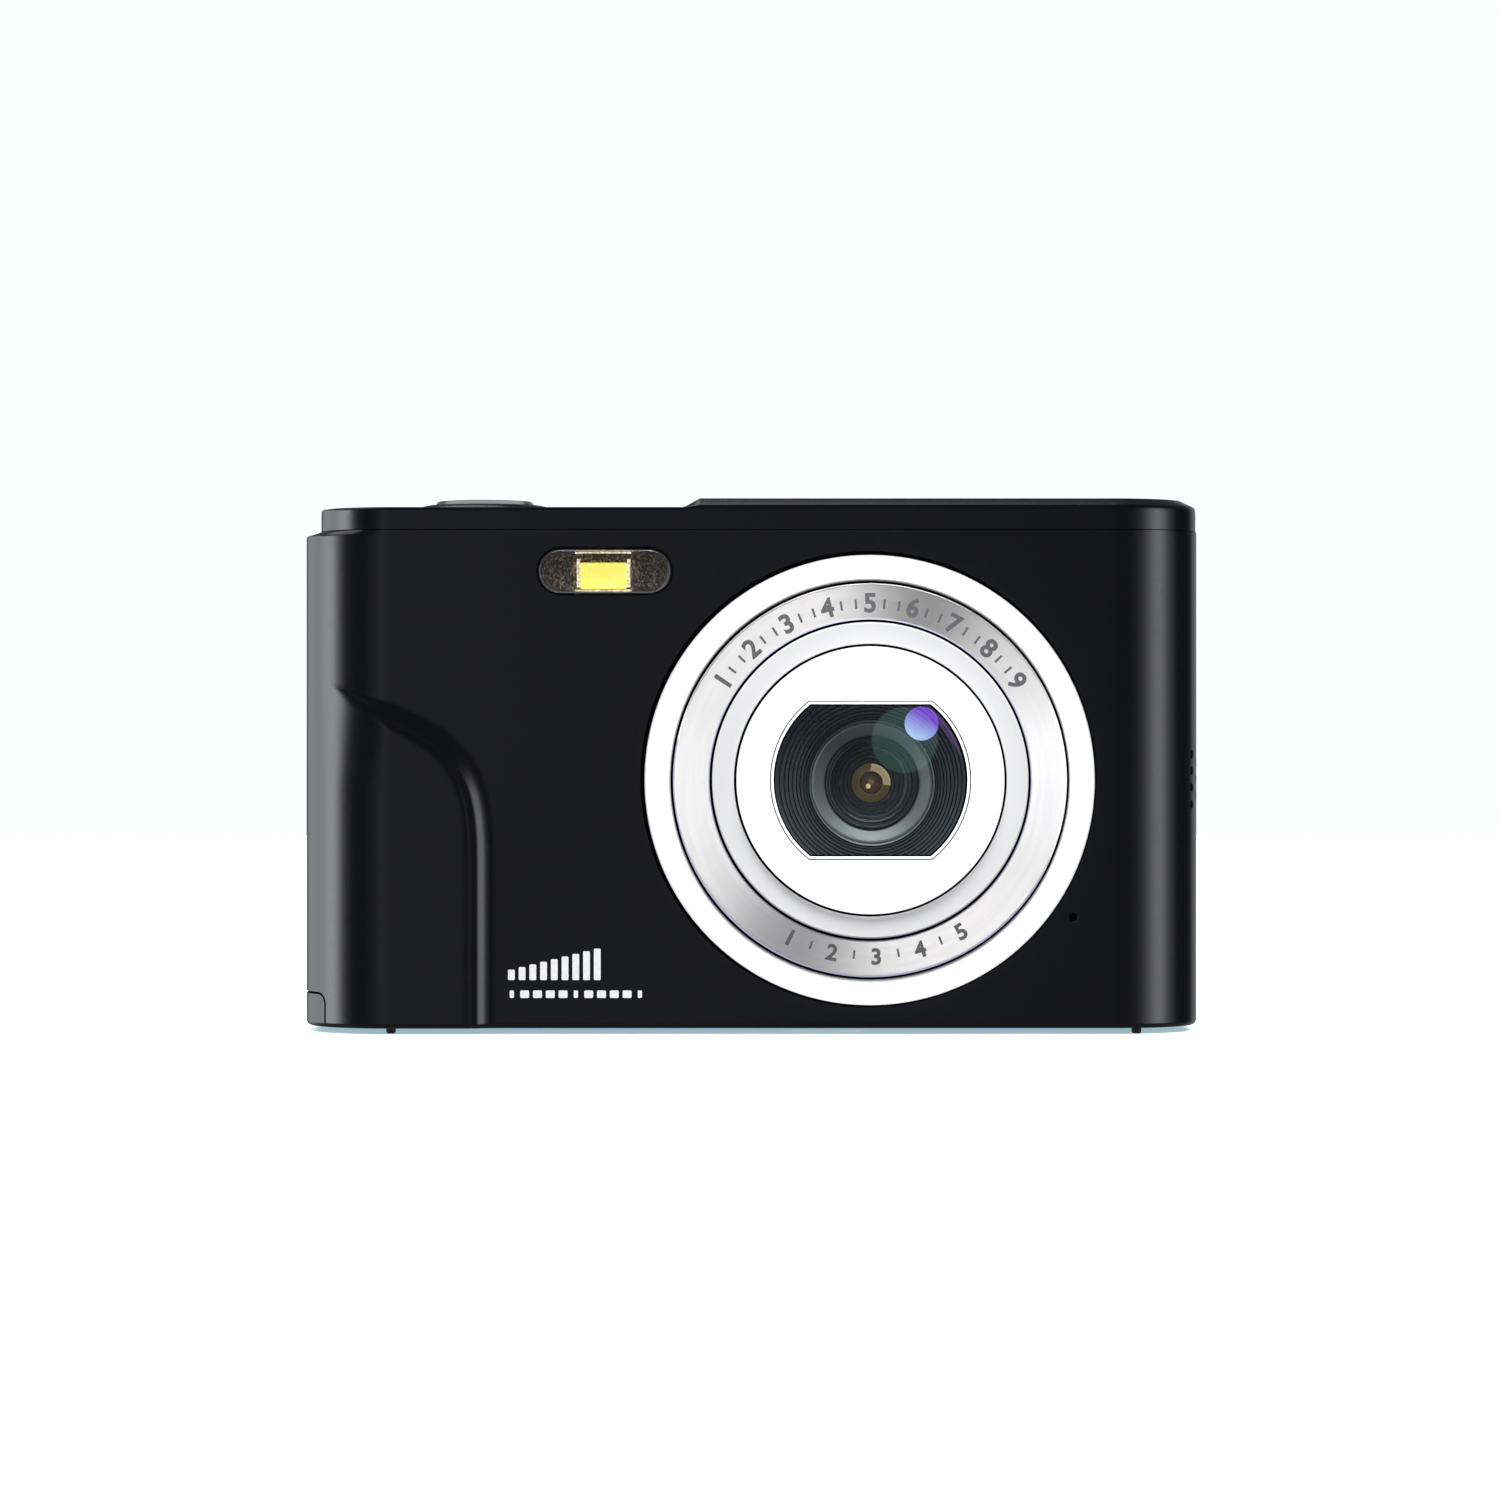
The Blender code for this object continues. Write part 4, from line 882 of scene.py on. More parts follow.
def make_top_cover():
    mesh_data = bmesh.new()
    rows = []
    for inset, low, high in COVER_RINGS:
        shoulder = SHOULDER - 1.4 if inset == 1.75 and high < TOP_Z - 1 else SHOULDER
        rows.append([mesh_data.verts.new((x, y, low + (high - low) * ramp_share(x)))
                     for x, y in cover_outline(inset, shoulder)])
    count = len(rows[0])
    for below, above in zip(rows, rows[1:]):
        for i in range(count):
            j = (i + 1) % count
            mesh_data.faces.new((below[i], below[j], above[j], above[i]))
    mesh_data.faces.new(reversed(rows[0]))
    top = rows[-1]
    left = [v for v in top if v.co.x <= RAMP_LOW_X + 1e-6]
    right = [v for v in top if v.co.x >= RAMP_HIGH_X - 1e-6]
    split = next(i for i in range(len(left) - 1) if left[i].co.x > -8 and left[i + 1].co.x > -8)
    mesh_data.faces.new(left[split + 1:] + left[:split + 1])
    mesh_data.faces.new(right)
    slope = [v for v in top if RAMP_LOW_X - 1e-6 <= v.co.x <= RAMP_HIGH_X + 1e-6]
    ahead = [v for v in slope if v.co.y < 0]
    behind = [v for v in slope if v.co.y > 0][::-1]
    for i in range(len(ahead) - 1):
        mesh_data.faces.new((ahead[i], ahead[i + 1], behind[i + 1], behind[i]))
    cover = finish("top_casing", mesh_data, M["body"], 40)
    carve(cover, [prism("tool", whole_outline(2.7, 0.6), 50, TOP_Z - 1.5, "Z")])
    carve(cover, [countersink("Z", SHUTTER_X, 0.0, TOP_Z, -1, 5.55, 6, 0.1),
                  countersink("Z", POWER_X, POWER_Y, TOP_Z, -1, 2.65, 6, 0.15)])
    settle(cover, "top_cover")
    make_top_details()


def make_top_details():
    """The status lamp beside the power button."""
    lamp = turned("status_lamp", soft([(0.0, TOP_Z - 0.02), (0.45, TOP_Z - 0.02), (0.45, TOP_Z + 0.1, 0.08),
                                       (0.0, TOP_Z + 0.14)]),
                  (POWER_X - 4.2, POWER_Y), "Z", M["pale"], TINY)
    settle(lamp, "top_cover", False)


# ---------------------------------------------------------------- buttons

def make_buttons():
    low, high = mm_box("shutter_button")
    crown, half_angle = high.z - 0.14, math.radians(69)
    collar = soft([(5.55, TOP_Z - 0.02), (7.32, TOP_Z - 0.02), (7.28, TOP_Z + 0.08, 0.05),
                   (6.7, TOP_Z + 0.42, 0.3), (6.1, TOP_Z + 0.54, 0.2), (5.62, TOP_Z + 0.58, 0.1),
                   (5.55, TOP_Z + 0.46)])
    piece = turned("shutter_ring", collar, (SHUTTER_X, 0.0), "Z", M["body"], RING)
    settle(piece, "shutter_collar")
    dome = [(5.30 * math.sin(math.radians(a)) / math.sin(half_angle),
             crown - 0.17 * (1 - math.cos(math.radians(a))) / (1 - math.cos(half_angle)))
            for a in (60, 50, 40, 30, 20, 10, 0)]
    button = [(0.0, low.z), (1.5, low.z), (1.5, low.z + 1.9), (6.2, low.z + 1.9), (6.2, low.z + 2.7),
              (5.37, low.z + 2.7), (5.37, crown - 0.57, 0.03), (5.06, crown - 0.16, 0.03)]
    piece = turned("shutter_release", soft(button) + dome, (SHUTTER_X, 0.0), "Z", M["button"], RING)
    settle(piece, "shutter_button")
    low, high = mm_box("power_button")
    crown = high.z
    power = [(0.0, low.z), (1.2, low.z), (1.2, low.z + 2.1), (3.2, low.z + 2.1), (3.2, low.z + 2.8),
             (2.5, low.z + 2.8), (2.5, crown, 0.18), (1.55, crown, 0.1), (1.45, crown - 0.12, 0.06),
             (1.2, crown - 0.12, 0.06), (1.1, crown, 0.08), (0.0, crown)]
    piece = turned("power_cap", soft(power), (POWER_X, POWER_Y), "Z", M["button"], ROUND)
    settle(piece, "power_button")


def pressed_key(name, node, outline_of, crown):
    """A cap with rounded edges and a wider flange behind the shell; outline_of takes a clearance."""
    back, top = depths(node)
    flange, face = back + 0.6, top - KEY_SINK
    steps = [(outline_of(0.5), back), (outline_of(0.5), flange), (outline_of(0.0), flange),
             (outline_of(0.0), face - crown)]
    for step in range(1, 6):
        angle = math.radians(90 * step / 5)
        steps.append((outline_of(-crown * (1 - math.cos(angle))), face - crown * (1 - math.sin(angle))))
    settle(stepped(name, steps, "Y", M["key"]), node)


def sector(middle_angle, inner, outer, gap, grow):
    """A quarter ring round the pad's centre, moved out or in by grow on every side."""
    inner, outer, gap = inner - grow, outer + grow, gap - 2 * grow
    outer_end = 45.0 - math.degrees(gap / 2 / outer)
    inner_end = 45.0 - math.degrees(gap / 2 / inner)
    points = arc(PAD_X, PAD_Z, outer, outer, middle_angle - outer_end, middle_angle + outer_end, 20)
    return points + arc(PAD_X, PAD_Z, inner, inner, middle_angle + inner_end, middle_angle - inner_end, 12)


def raised_mark(name, outline, face, node):
    """A thin printed mark on a face looking along +Y."""
    settle(prism(name, outline, face - 0.02, face + 0.03, "Y", M["print"]), node, False)


def make_keys():
    face = depths("up_key")[1] - KEY_SINK
    for node, angle in (("right_key", 0), ("up_key", 90), ("left_key", 180), ("down_key", 270)):
        def outline_of(grow, angle=angle):
            if grow > 0:
                return sector(angle, 4.25, 8.2, 0.55, min(grow, 0.05) if grow < 0.3 else 0.05)
            return sector(angle, 4.15, 8.15, 0.55, grow)
        pressed_key(node + "_cap", node, outline_of, 0.25)
        turn = math.radians(angle)
        arrow = [(0.55, 0.0, 0.12), (-0.35, 0.62, 0.12), (-0.35, -0.62, 0.12)]
        at = (PAD_X + 6.4 * math.cos(turn), PAD_Z + 6.4 * math.sin(turn))
        outline = [(at[0] + u * math.cos(turn) - v * math.sin(turn),
                    at[1] + u * math.sin(turn) + v * math.cos(turn)) for u, v in soft(arrow)]
        raised_mark(node + "_arrow", outline, face, node)
    back, top = depths("ok_key")
    ok = [(0.0, back), (3.75, back), (3.75, top, 0.22), (2.9, top, 0.2), (2.6, top - 0.14, 0.15),
          (0.0, top - 0.2)]
    piece = turned("ok_cap", soft(ok), (PAD_X, PAD_Z), "Y", M["key"], ROUND)
    settle(piece, "ok_key")
    for node in ROUND_KEYS:
        centre = middle(node)
        back, top = depths(node)
        cap = [(0.0, back), (2.9, back), (2.9, back + 0.6), (2.3, back + 0.6), (2.3, top, 0.22),
               (1.5, top - 0.04, 0.3), (0.0, top - 0.12)]
        piece = turned(node + "_cap", soft(cap), (centre.x, centre.z), "Y", M["key"], ROUND)
        settle(piece, node)
        make_key_sign(node, centre.x, centre.z, top - 0.1)
    pressed_key("zoom_rocker_cap", "zoom_rocker",
                lambda grow: centred(PAD_X, ROCKER_Z, 13.0 + 1.6 * grow, 4.6 + 2 * grow, 2.29 + grow, 12),
                0.4)
    top = depths("zoom_rocker")[1] - KEY_SINK
    for name, side in (("zoom_bar_minus", -1), ("zoom_bar_plus", 1)):
        raised_mark(name, centred(PAD_X + side * 4.3, ROCKER_Z, 1.5, 0.28, 0.12, 3), top, "zoom_rocker")
    for name, end in (("zoom_plus_arm_low", -1), ("zoom_plus_arm_high", 1)):
        raised_mark(name, centred(PAD_X + 4.3, ROCKER_Z + end * 0.46, 0.28, 0.6, 0.1, 3), top, "zoom_rocker")


def make_key_sign(node, x, z, face):
    """A plain sign on a round key: dot, triangle, three bars or a frame."""
    if node == "mode_key":
        raised_mark(node + "_sign", circle(x, z, 0.5), face, node)
    elif node == "play_key":
        outline = [(x + u, z + v) for u, v in soft([(0.75, 0.0, 0.1), (-0.45, 0.7, 0.1), (-0.45, -0.7, 0.1)])]
        raised_mark(node + "_sign", outline, face, node)
    elif node == "menu_key":
        for row in (-1, 0, 1):
            raised_mark(f"{node}_sign_{row + 2}", centred(x, z + 0.48 * row, 1.4, 0.2, 0.09, 2), face, node)
    else:
        raised_mark(node + "_sign", centred(x, z - 0.1, 0.8, 0.95, 0.15, 3), face, node)
        raised_mark(node + "_sign_lid", centred(x, z + 0.62, 1.15, 0.2, 0.09, 2), face, node)


# ---------------------------------------------------------------- lens

def window_outline(radius=WINDOW_RADIUS, half=WINDOW_HALF, segments=24):
    """A circle round the lens axis with its top and bottom cut flat."""
    end = math.degrees(math.asin(half / radius))
    right = arc(LENS_X, LENS_Z, radius, radius, -end, end, segments)
    return right + arc(LENS_X, LENS_Z, radius, radius, 180 - end, 180 + end, segments)


def lens_ring(name, profile, look, node, stands_for=True, leans=False, segments=RING, steps=4):
    """A profile turned round the lens axis; what lies deep in the lens leans off it."""
    piece = turned(name, soft(profile, steps), LENS, "Y", M[look], segments)
    settle(lean(piece) if leans else piece, node, stands_for)


def ring_seal(name, inner, outer, low, high, node):
    """A matt black ring at the bottom of the gap between two rings: painted shade in the gap."""
    lens_ring(name, [(inner, low), (outer, low), (outer, high), (inner, high)], "painted_shade", node, False)


def arc_line(name, inner, outer, low, high, start_at, end_at):
    """A thin tinted strip along the scale ring's edge between two angles, counted from +X towards +Z."""
    steps = max(2, round((end_at - start_at) / 2))
    rows = []
    for step in range(steps + 1):
        turn = math.radians(start_at + (end_at - start_at) * step / steps)
        rows.append([(LENS_X + radius * math.cos(turn), along, LENS_Z + radius * math.sin(turn))
                     for radius, along in ((inner, low), (outer, low + 0.02), (outer, high), (inner, high))])
    closed = end_at - start_at >= 360
    piece = skin(name, rows if not closed else rows[:-1] + rows[:1], M["violet"], not closed)
    settle(piece, "lens_scale_ring", False)


def framed(name, outer, inner, low, high, material):
    """A frame of the window's shape between two sizes."""
    frame_piece = stepped(name, [(window_outline(*outer), low), (window_outline(*outer), high)])
    frame_piece.data.materials.append(material)
    hole = window_outline(*inner)
    carve(frame_piece, [stepped("tool", [(hole, low - 1), (hole, high + 1)])])
    settle(frame_piece, "lens_face_plate", False)


def make_lens_rings():
    face = front_of("lens_bezel_ring")
    bezel = [(8.4, -9.25), (17.0, -9.25), (17.0, -11.3), (BEZEL_INNER, -11.3), (BEZEL_INNER, face + 0.3, 0.1),
             (21.3, face, 0.25), (23.4, face, 0.3), (23.8, face + 0.5, 0.3), (23.83, face + 1.1),
             (23.83, -10.1), (21.3, -10.1), (21.3, -8.0), (8.4, -8.0)]
    lens_ring("lens_bezel", bezel, "bright", "lens_bezel_ring")

    face = front_of("lens_scale_ring")
    scale = [(SCALE_INNER, -11.45), (SCALE_INNER, face + 0.10, 0.04), (17.05, face, 0.04),
             (20.6, face + 0.52, 0.1), (20.76, face + 0.72, 0.1), (SCALE_OUTER, face + 1.4),
             (SCALE_OUTER, -11.45)]
    lens_ring("lens_scale_spun", scale, "spun", "lens_scale_ring")
    arc_line("scale_inner_edge", SCALE_INNER, 17.04, face - 0.004, face + 0.4, 0, 360)
    arc_line("scale_outer_edge", 20.66, SCALE_OUTER, face + 0.56, face + 1.2, 168, 332)
    ring_seal("gap_outer", SCALE_OUTER + 0.01, BEZEL_INNER - 0.005, -13.0, -11.35, "lens_bezel_ring")
    ring_seal("gap_middle", STEP_OUTER + 0.01, SCALE_INNER - 0.01, face + 0.3, -11.5, "lens_scale_ring")

    face = front_of("lens_step_ring")
    step = [(STEP_INNER, face + 0.8), (STEP_INNER, face + 0.06, 0.03), (14.41, face, 0.03),
            (16.52, face, 0.06), (STEP_OUTER, face + 0.15, 0.06), (STEP_OUTER, -9.4), (15.2, -9.4),
            (15.2, face + 0.8)]
    lens_ring("lens_step_moulded", step, "pale", "lens_step_ring")
    ring_seal("gap_inner", PLATE_OUTER + 0.01, STEP_INNER - 0.01, face + 0.10, face + 0.9, "lens_step_ring")

    face = front_of("lens_face_plate")
    plate = [(0.0, face), (13.85, face, 0.1), (PLATE_OUTER, face + 0.3, 0.15), (PLATE_OUTER, -9.4),
             (12.75, -9.4), (12.75, -15.0), (0.0, -15.0)]
    disc = turned("lens_face", soft(plate), LENS, "Y", M["face"], RING)
    rim = window_outline(10.60, 8.38)
    carve(disc, [stepped("tool", [(rim, face - 1), (rim, face + 0.03),
                                  (window_outline(10.45, 8.23), face + 0.07),
                                  (window_outline(), face + 0.2), (window_outline(), -14.0)])])
    settle(disc, "lens_face_plate")
    # Painted shade: a thin dark line round the window's edge, and a black frame between its rim and the pane.
    framed("window_shade_line", (10.59, 8.37), (10.46, 8.24), face + 0.001, face + 0.05, M["line"])
    framed("window_rim", (10.39, 8.17), (10.20, 8.00), face + 0.2, -14.95, M["face"])
    framed("window_painted_shade", (10.19, 7.99), (10.04, 7.86), face + 0.26, -14.95, M["painted_shade"])
    # A painted shadow: a black ring set off the lens axis up and to the left, so a crescent of it shows
    # beside the bezel.
    shadow_crescent = turned("lens_shadow_crescent", [(23.5, -10.06), (24.22, -10.06), (24.22, -9.98), (23.5, -9.98)],
                  (LENS_X - 0.09, LENS_Z + 0.09), "Y", M["painted_shade"], RING)
    settle(shadow_crescent, "front_shell", False)


def lean(piece):
    """Shifts a piece a little to the right and down, from nothing at the window to all of it 4 mm deeper."""
    for vertex in piece.data.vertices:
        depth = vertex.co.y / MM - MID_Y
        share = min(1.0, max(0.0, (depth + 14.0) / 4.0))
        vertex.co.x += LEAN_X * share * MM
        vertex.co.z += LEAN_Z * share * MM
    return piece


# The baffle funnels from the window to the retainer in ribs of these outer radii.
RIBS = (10.75, 10.1, 9.6, 9.15, 8.75, 8.35, 7.95, 7.6, 7.25, 6.95, 6.7)


def make_lens_inside():
    low, high = depths("lens_window")
    pane = [(0.0, low), (12.6, low, 0.1), (12.6, high, 0.1), (0.0, high)]
    lens_ring("lens_pane", pane, "pane", "lens_window")

    def deep(radius):
        """How deep the baffle's funnel is at a radius."""
        return -14.0 + (11.0 - radius) * 1.12
    wall = []
    for outer, inner in zip(RIBS, RIBS[1:]):
        wall += [(outer, deep(outer), 0.06), (outer - 0.10, deep(inner) + 0.05, 0.08),
                 (inner + 0.05, deep(inner) - 0.12, 0.05)]
    baffle = [(6.5, -9.2), (6.5, -5.5), (8.2, -5.5), (8.2, -9.0), (12.2, -9.0), (12.2, -14.0), (11.0, -14.0)]
    lens_ring("lens_funnel", baffle + wall, "baffle", "lens_baffle", leans=True, steps=2)
    # Painted shade in the baffle's grooves: a thin black ring at the root of each rib.
    groove_shades = [turned("groove", [(radius - 0.02, deep(radius) - 0.135), (radius + 0.10, deep(radius) - 0.135),
                                 (radius + 0.10, deep(radius) - 0.06), (radius - 0.02, deep(radius) - 0.06)],
                      LENS, "Y", M["painted_shade"], RING) for radius in RIBS[1:]]
    settle(lean(join("lens_funnel_groove_shades", groove_shades)), "lens_baffle", False)

    face = front_of("lens_retainer")
    retainer = [(6.45, face + 0.05, 0.05), (6.2, face, 0.08), (5.12, face + 0.42, 0.1),
                (4.98, face + 0.6, 0.08), (4.98, -5.6), (6.45, -5.6)]
    lens_ring("lens_dish", retainer, "retainer", "lens_retainer", leans=True)

    face, back = depths("lens_barrel")
    barrel = [(4.9, back), (4.9, face + 0.05, 0.05), (4.72, face, 0.06), (4.55, face + 0.12, 0.05),
              (4.42, face + 0.06, 0.05), (4.24, face + 0.35, 0.06), (4.2, face + 1.4),
              (3.92, face + 1.5, 0.06),
              (3.86, face + 1.9), (3.5, face + 1.95, 0.06), (3.44, face + 2.3), (3.05, face + 2.3, 0.06),
              (3.0, face + 2.6), (2.55, face + 2.6, 0.06), (2.5, face + 2.85), (2.2, face + 2.85, 0.05),
              (2.15, face + 3.2), (3.3, face + 3.3), (3.3, back)]
    lens_ring("lens_cell", barrel, "barrel", "lens_barrel", leans=True, steps=3)

    apex = front_of("front_lens")
    outer = dome_profile(4.12, apex, 1.15, 14)
    inner = dome_profile(3.6, apex + 0.75, 1.0, 10)
    element = outer + [(4.12, apex + 1.5)] + list(reversed(inner))
    lens_ring("front_element", element, "element", "front_lens", leans=True)

    back = depths("aperture_stop")[1]
    stop = [(1.16, back), (1.16, back - 0.45, 0.05), (1.28, back - 0.62, 0.05), (2.12, back - 0.35, 0.05),
            (2.14, back)]
    lens_ring("aperture_ring", stop, "amber", "aperture_stop", leans=True, segments=ROUND)
    pupil = dome_profile(1.12, back - 0.35, 0.3, 8) + [(1.12, back), (0.0, back)]
    lens_ring("pupil_element", pupil, "pupil", "rear_lens", False, True, ROUND)
    small = dome_profile(2.1, back - 1.05, 0.45, 10) + [(2.1, back - 0.5)]
    small += list(reversed(dome_profile(1.9, back - 0.85, 0.4, 8)))
    lens_ring("second_element", small, "inner_element", "rear_lens", False, True, ROUND)
    # A painted glint: a small bright warm disc low and to the left in the pupil.
    glint = soft([(0.0, back - 0.62), (0.26, back - 0.60, 0.05), (0.28, back - 0.3), (0.0, back - 0.3)])
    glint = turned("pupil_glint", glint, (LENS_X - 0.32, LENS_Z - 0.36), "Y", M["glint"], TINY)
    settle(lean(glint), "rear_lens", False)
    # A painted reflection: a tan patch up and to the right of the pupil.
    patch = at_angles(*LENS, 2.05, range(-8, 96, 8)) + at_angles(*LENS, 1.25, range(96, -9, -8))
    patch = lean(prism("painted_reflection_patch", patch, back - 0.72, back - 0.5, "Y", M["tan"]))
    settle(patch, "rear_lens", False)


def make_coating():
    """Painted glare: glowing films behind the window, a violet spot, a green veil and a wine red edge."""
    spots = (("painted_glare_spot", circle(GLARE_X, GLARE_Z, GLARE_RADIUS, ROUND), -13.90, "glare"),
             ("painted_glare_veil", circle(VEIL_X, VEIL_Z, VEIL_RADIUS, ROUND), -13.80, "veil"),
             ("painted_glare_edge", at_angles(*LENS, 9.95, range(14, 54, 3)), -13.70, "wine"))
    for name, outline, along, look in spots:
        settle(prism(name, outline, along, along + 0.02, "Y", M[look]), "lens_window", False)


def dome_profile(radius, apex, sag, steps):
    """From the apex on the axis to the rim, bulging towards -Y."""
    return [(radius * step / steps, apex + sag * (1 - math.sqrt(1 - (0.92 * step / steps) ** 2)) / 0.608)
            for step in range(steps + 1)]


def on_scale(radius, turn):
    """A point just above the scale ring's sloping front, from its radius and angle in degrees."""
    face = front_of("lens_scale_ring")
    along = face + 0.5 * (radius - 17.05) / (20.5 - 17.05)
    angle = math.radians(turn)
    return LENS_X + radius * math.cos(angle), along, LENS_Z + radius * math.sin(angle)


def scale_mark(mesh_data, turn, low, high, width):
    """One thin mark lying on the scale ring's cone, between two radii."""
    columns = []
    for radius in (low, high):
        half = math.degrees(width / 2 / radius)
        for side in (-half, half):
            x, y, z = on_scale(radius, turn + side)
            columns.append((mesh_data.verts.new((x, y - 0.025, z)), mesh_data.verts.new((x, y + 0.02, z))))
    order = (0, 1, 3, 2)
    top = [columns[i][0] for i in order]
    under = [columns[i][1] for i in order]
    mesh_data.faces.new(top)
    mesh_data.faces.new(reversed(under))
    for i in range(4):
        j = (i + 1) % 4
        mesh_data.faces.new((top[i], under[i], under[j], top[j]))


def numeral(mesh_data, text, turn, base, height, upright):
    """A number bent round the ring; upright numbers stand outwards, the others inwards."""
    curve = bpy.data.curves.new("numeral", "FONT")
    curve.body = text
    curve.align_x = "CENTER"
    curve.size = height / 0.70
    curve.resolution_u = 4
    curve.extrude = 0.02
    curve.offset = 0.045 * height
    holder = bpy.data.objects.new("numeral", curve)
    bpy.context.scene.collection.objects.link(holder)
    graph = bpy.context.evaluated_depsgraph_get()
    shape = bpy.data.meshes.new_from_object(holder.evaluated_get(graph))
    bpy.data.objects.remove(holder)
    glyph = bmesh.new()
    glyph.from_mesh(shape)
    for vertex in glyph.verts:
        across, up = vertex.co.x, vertex.co.y
        radius = base + up if upright else base + height - up
        side = math.degrees(across / (base + height / 2)) * (-1 if upright else 1)
        x, y, z = on_scale(radius, turn + side)
        vertex.co = (x, y - 0.005 - vertex.co.z, z)
    bmesh.ops.recalc_face_normals(glyph, faces=glyph.faces)
    glyph.to_mesh(shape)
    glyph.free()
    mesh_data.from_mesh(shape)
    bpy.data.meshes.remove(shape)


# Each scale: its last number, first angle and angle covered, the numbers' height and whether they stand
# outwards; then how far the marks beside each number but the first are from it, their two radii and width.
NUMBERS_FROM = 17.75
SCALES = ((9, 146.0, -112.0, 1.95, True, (14.0 * 0.33, 14.0 * 0.67), 18.1, 19.1, 0.24),
          (5, 243.0, 58.0, 1.65, False, (-7.25,), 18.0, 18.9, 0.22))


def make_scale_marks():
    """A plain numbered scale over the top of the ring and a shorter one under it."""
    mesh_data = bmesh.new()
    for last, first_turn, covered, height, upright, offsets, low, high, width in SCALES:
        for number in range(1, last + 1):
            turn = first_turn + covered * (number - 1) / (last - 1)
            numeral(mesh_data, str(number), turn, NUMBERS_FROM, height, upright)
            for offset in offsets if number > 1 else ():
                scale_mark(mesh_data, turn + offset, low, high, width)
    marks = finish("scale_graduations", mesh_data, M["mark"])
    settle(marks, "lens_scale_ring", False)


# ---------------------------------------------------------------- flash

def make_flash():
    low, high = mm_box("flash_window")
    front, back = depths("flash_window")
    width, height = high.x - low.x, high.z - low.z

    def outline(shrink, tall=height):
        return centred(FLASH_X, FLASH_Z, width - 2 * shrink, tall - 2 * shrink, tall / 2 - shrink - 0.01, 16)
    steps = [(outline(0.0), back), (outline(0.0), front + 0.35), (outline(0.05), front + 0.2),
             (outline(0.16), front + 0.08), (outline(0.30), front)]
    settle(stepped("flash_pane", steps, "Y", M["acrylic"]), "flash_window")
    rim = stepped("flash_rim", [(outline(0.01), back - 0.55), (outline(0.01), back + 0.2)])
    rim.data.materials.append(M["rim"])
    carve(rim, [stepped("tool", [(outline(0.10), back - 1.0), (outline(0.14), back - 0.5),
                                 (outline(0.22), back + 0.3)])])
    settle(rim, "flash_reflector", False)

    low, high = mm_box("flash_reflector")
    mouth_y, back_y = depths("flash_reflector")
    tray = prism("flash_bowl", centred(FLASH_X, FLASH_Z, high.x - low.x, high.z - low.z, 2.19, 12),
                 mouth_y, back_y, "Y", M["flash"])
    bowl = []
    for along, half_x, half_z, corner in ((mouth_y - 0.2, 6.68, 2.13, 2.1), (mouth_y + 0.5, 6.45, 2.10, 2.0),
                                          (mouth_y + 1.2, 5.6, 2.05, 1.2), (mouth_y + 1.9, 4.2, 2.0, 0.6),
                                          (mouth_y + 2.3, 3.3, 1.98, 0.4), (-5.75, 2.95, 1.95, 0.3),
                                          (-5.4, 2.72, 1.9, 0.3)):
        bowl.append((centred(FLASH_X, FLASH_Z, 2 * half_x, 2 * half_z, corner, 10), along))
    carve(tray, [stepped("tool", bowl)])
    settle(tray, "flash_reflector")
    # Painted highlights: glowing strips beside the chip and along the reflector's top and bottom edges.
    folds = []
    for side in (-1, 1):
        middle_x = CHIP_X + side * 2.68
        folds.append(block("fold", (middle_x - 0.17, -6.25, FLASH_Z - 1.6),
                           (middle_x + 0.17, -5.6, FLASH_Z + 1.4), M["fold"]))
        for start_x, end_x, tall in ((-2.45, 2.45, 0.16), (-3.0, -2.5, 0.2), (2.5, 3.0, 0.2)):
            edge_z = FLASH_Z + side * 2.02
            folds.append(block("fold", (CHIP_X + start_x, mouth_y + 0.5, edge_z - tall / 2),
                               (CHIP_X + end_x, mouth_y + 0.75, edge_z + tall / 2), M["fold"]))
    settle(join("flash_folds", folds), "flash_reflector", False)
    # A painted highlight: a grey crescent at the right end of the flash pane.
    end_x = FLASH_X + width / 2 - 2.3
    crescent = at_angles(end_x, FLASH_Z, 2.24, range(-66, 67, 6))
    crescent += at_angles(end_x - 0.34, FLASH_Z, 2.24, range(60, -61, -6))
    edge = prism("flash_painted_glint", crescent, back + 0.02, back + 0.1, "Y", M["rim"])
    settle(edge, "flash_window", False)

    # The chip glows by itself: a painted glow.
    front, back = depths("flash_led")
    steps = [(centred(CHIP_X, CHIP_Z, 4.9 - 2 * cut, 2.82 - 2 * cut, 0.15, 3), along)
             for cut, along in ((0.0, back), (0.0, front + 0.1), (0.08, front))]
    settle(stepped("flash_chip", steps, "Y", M["led"]), "flash_led")


# ---------------------------------------------------------------- screen, ports, fasteners

def make_screen():
    low, high = mm_box("lcd_window")
    back, face = depths("lcd_window")
    width, height = high.x - low.x, high.z - low.z
    steps = [(centred(SCREEN_X, SCREEN_Z, width - 2 * cut, height - 2 * cut, 1.5 - cut), along)
             for cut, along in ((0.0, back), (0.0, face - 0.16), (0.05, face - 0.05), (0.16, face))]
    settle(stepped("screen_glass", steps, "Y", M["screen_glass"]), "lcd_window")
    lit = prism("screen_image_area", centred(SCREEN_X + 0.4, SCREEN_Z, 56.0, 42.0, 0.3, 3),
                face - 0.02, face + 0.004, "Y", M["screen"])
    settle(lit, "lcd_window", False)
    lamp = prism("busy_lamp", circle(SCREEN_X - 29.6, SCREEN_Z + 21.0, 0.4, 24),
                 face - 0.02, face + 0.01, "Y", M["pale"])
    settle(lamp, "lcd_window", False)


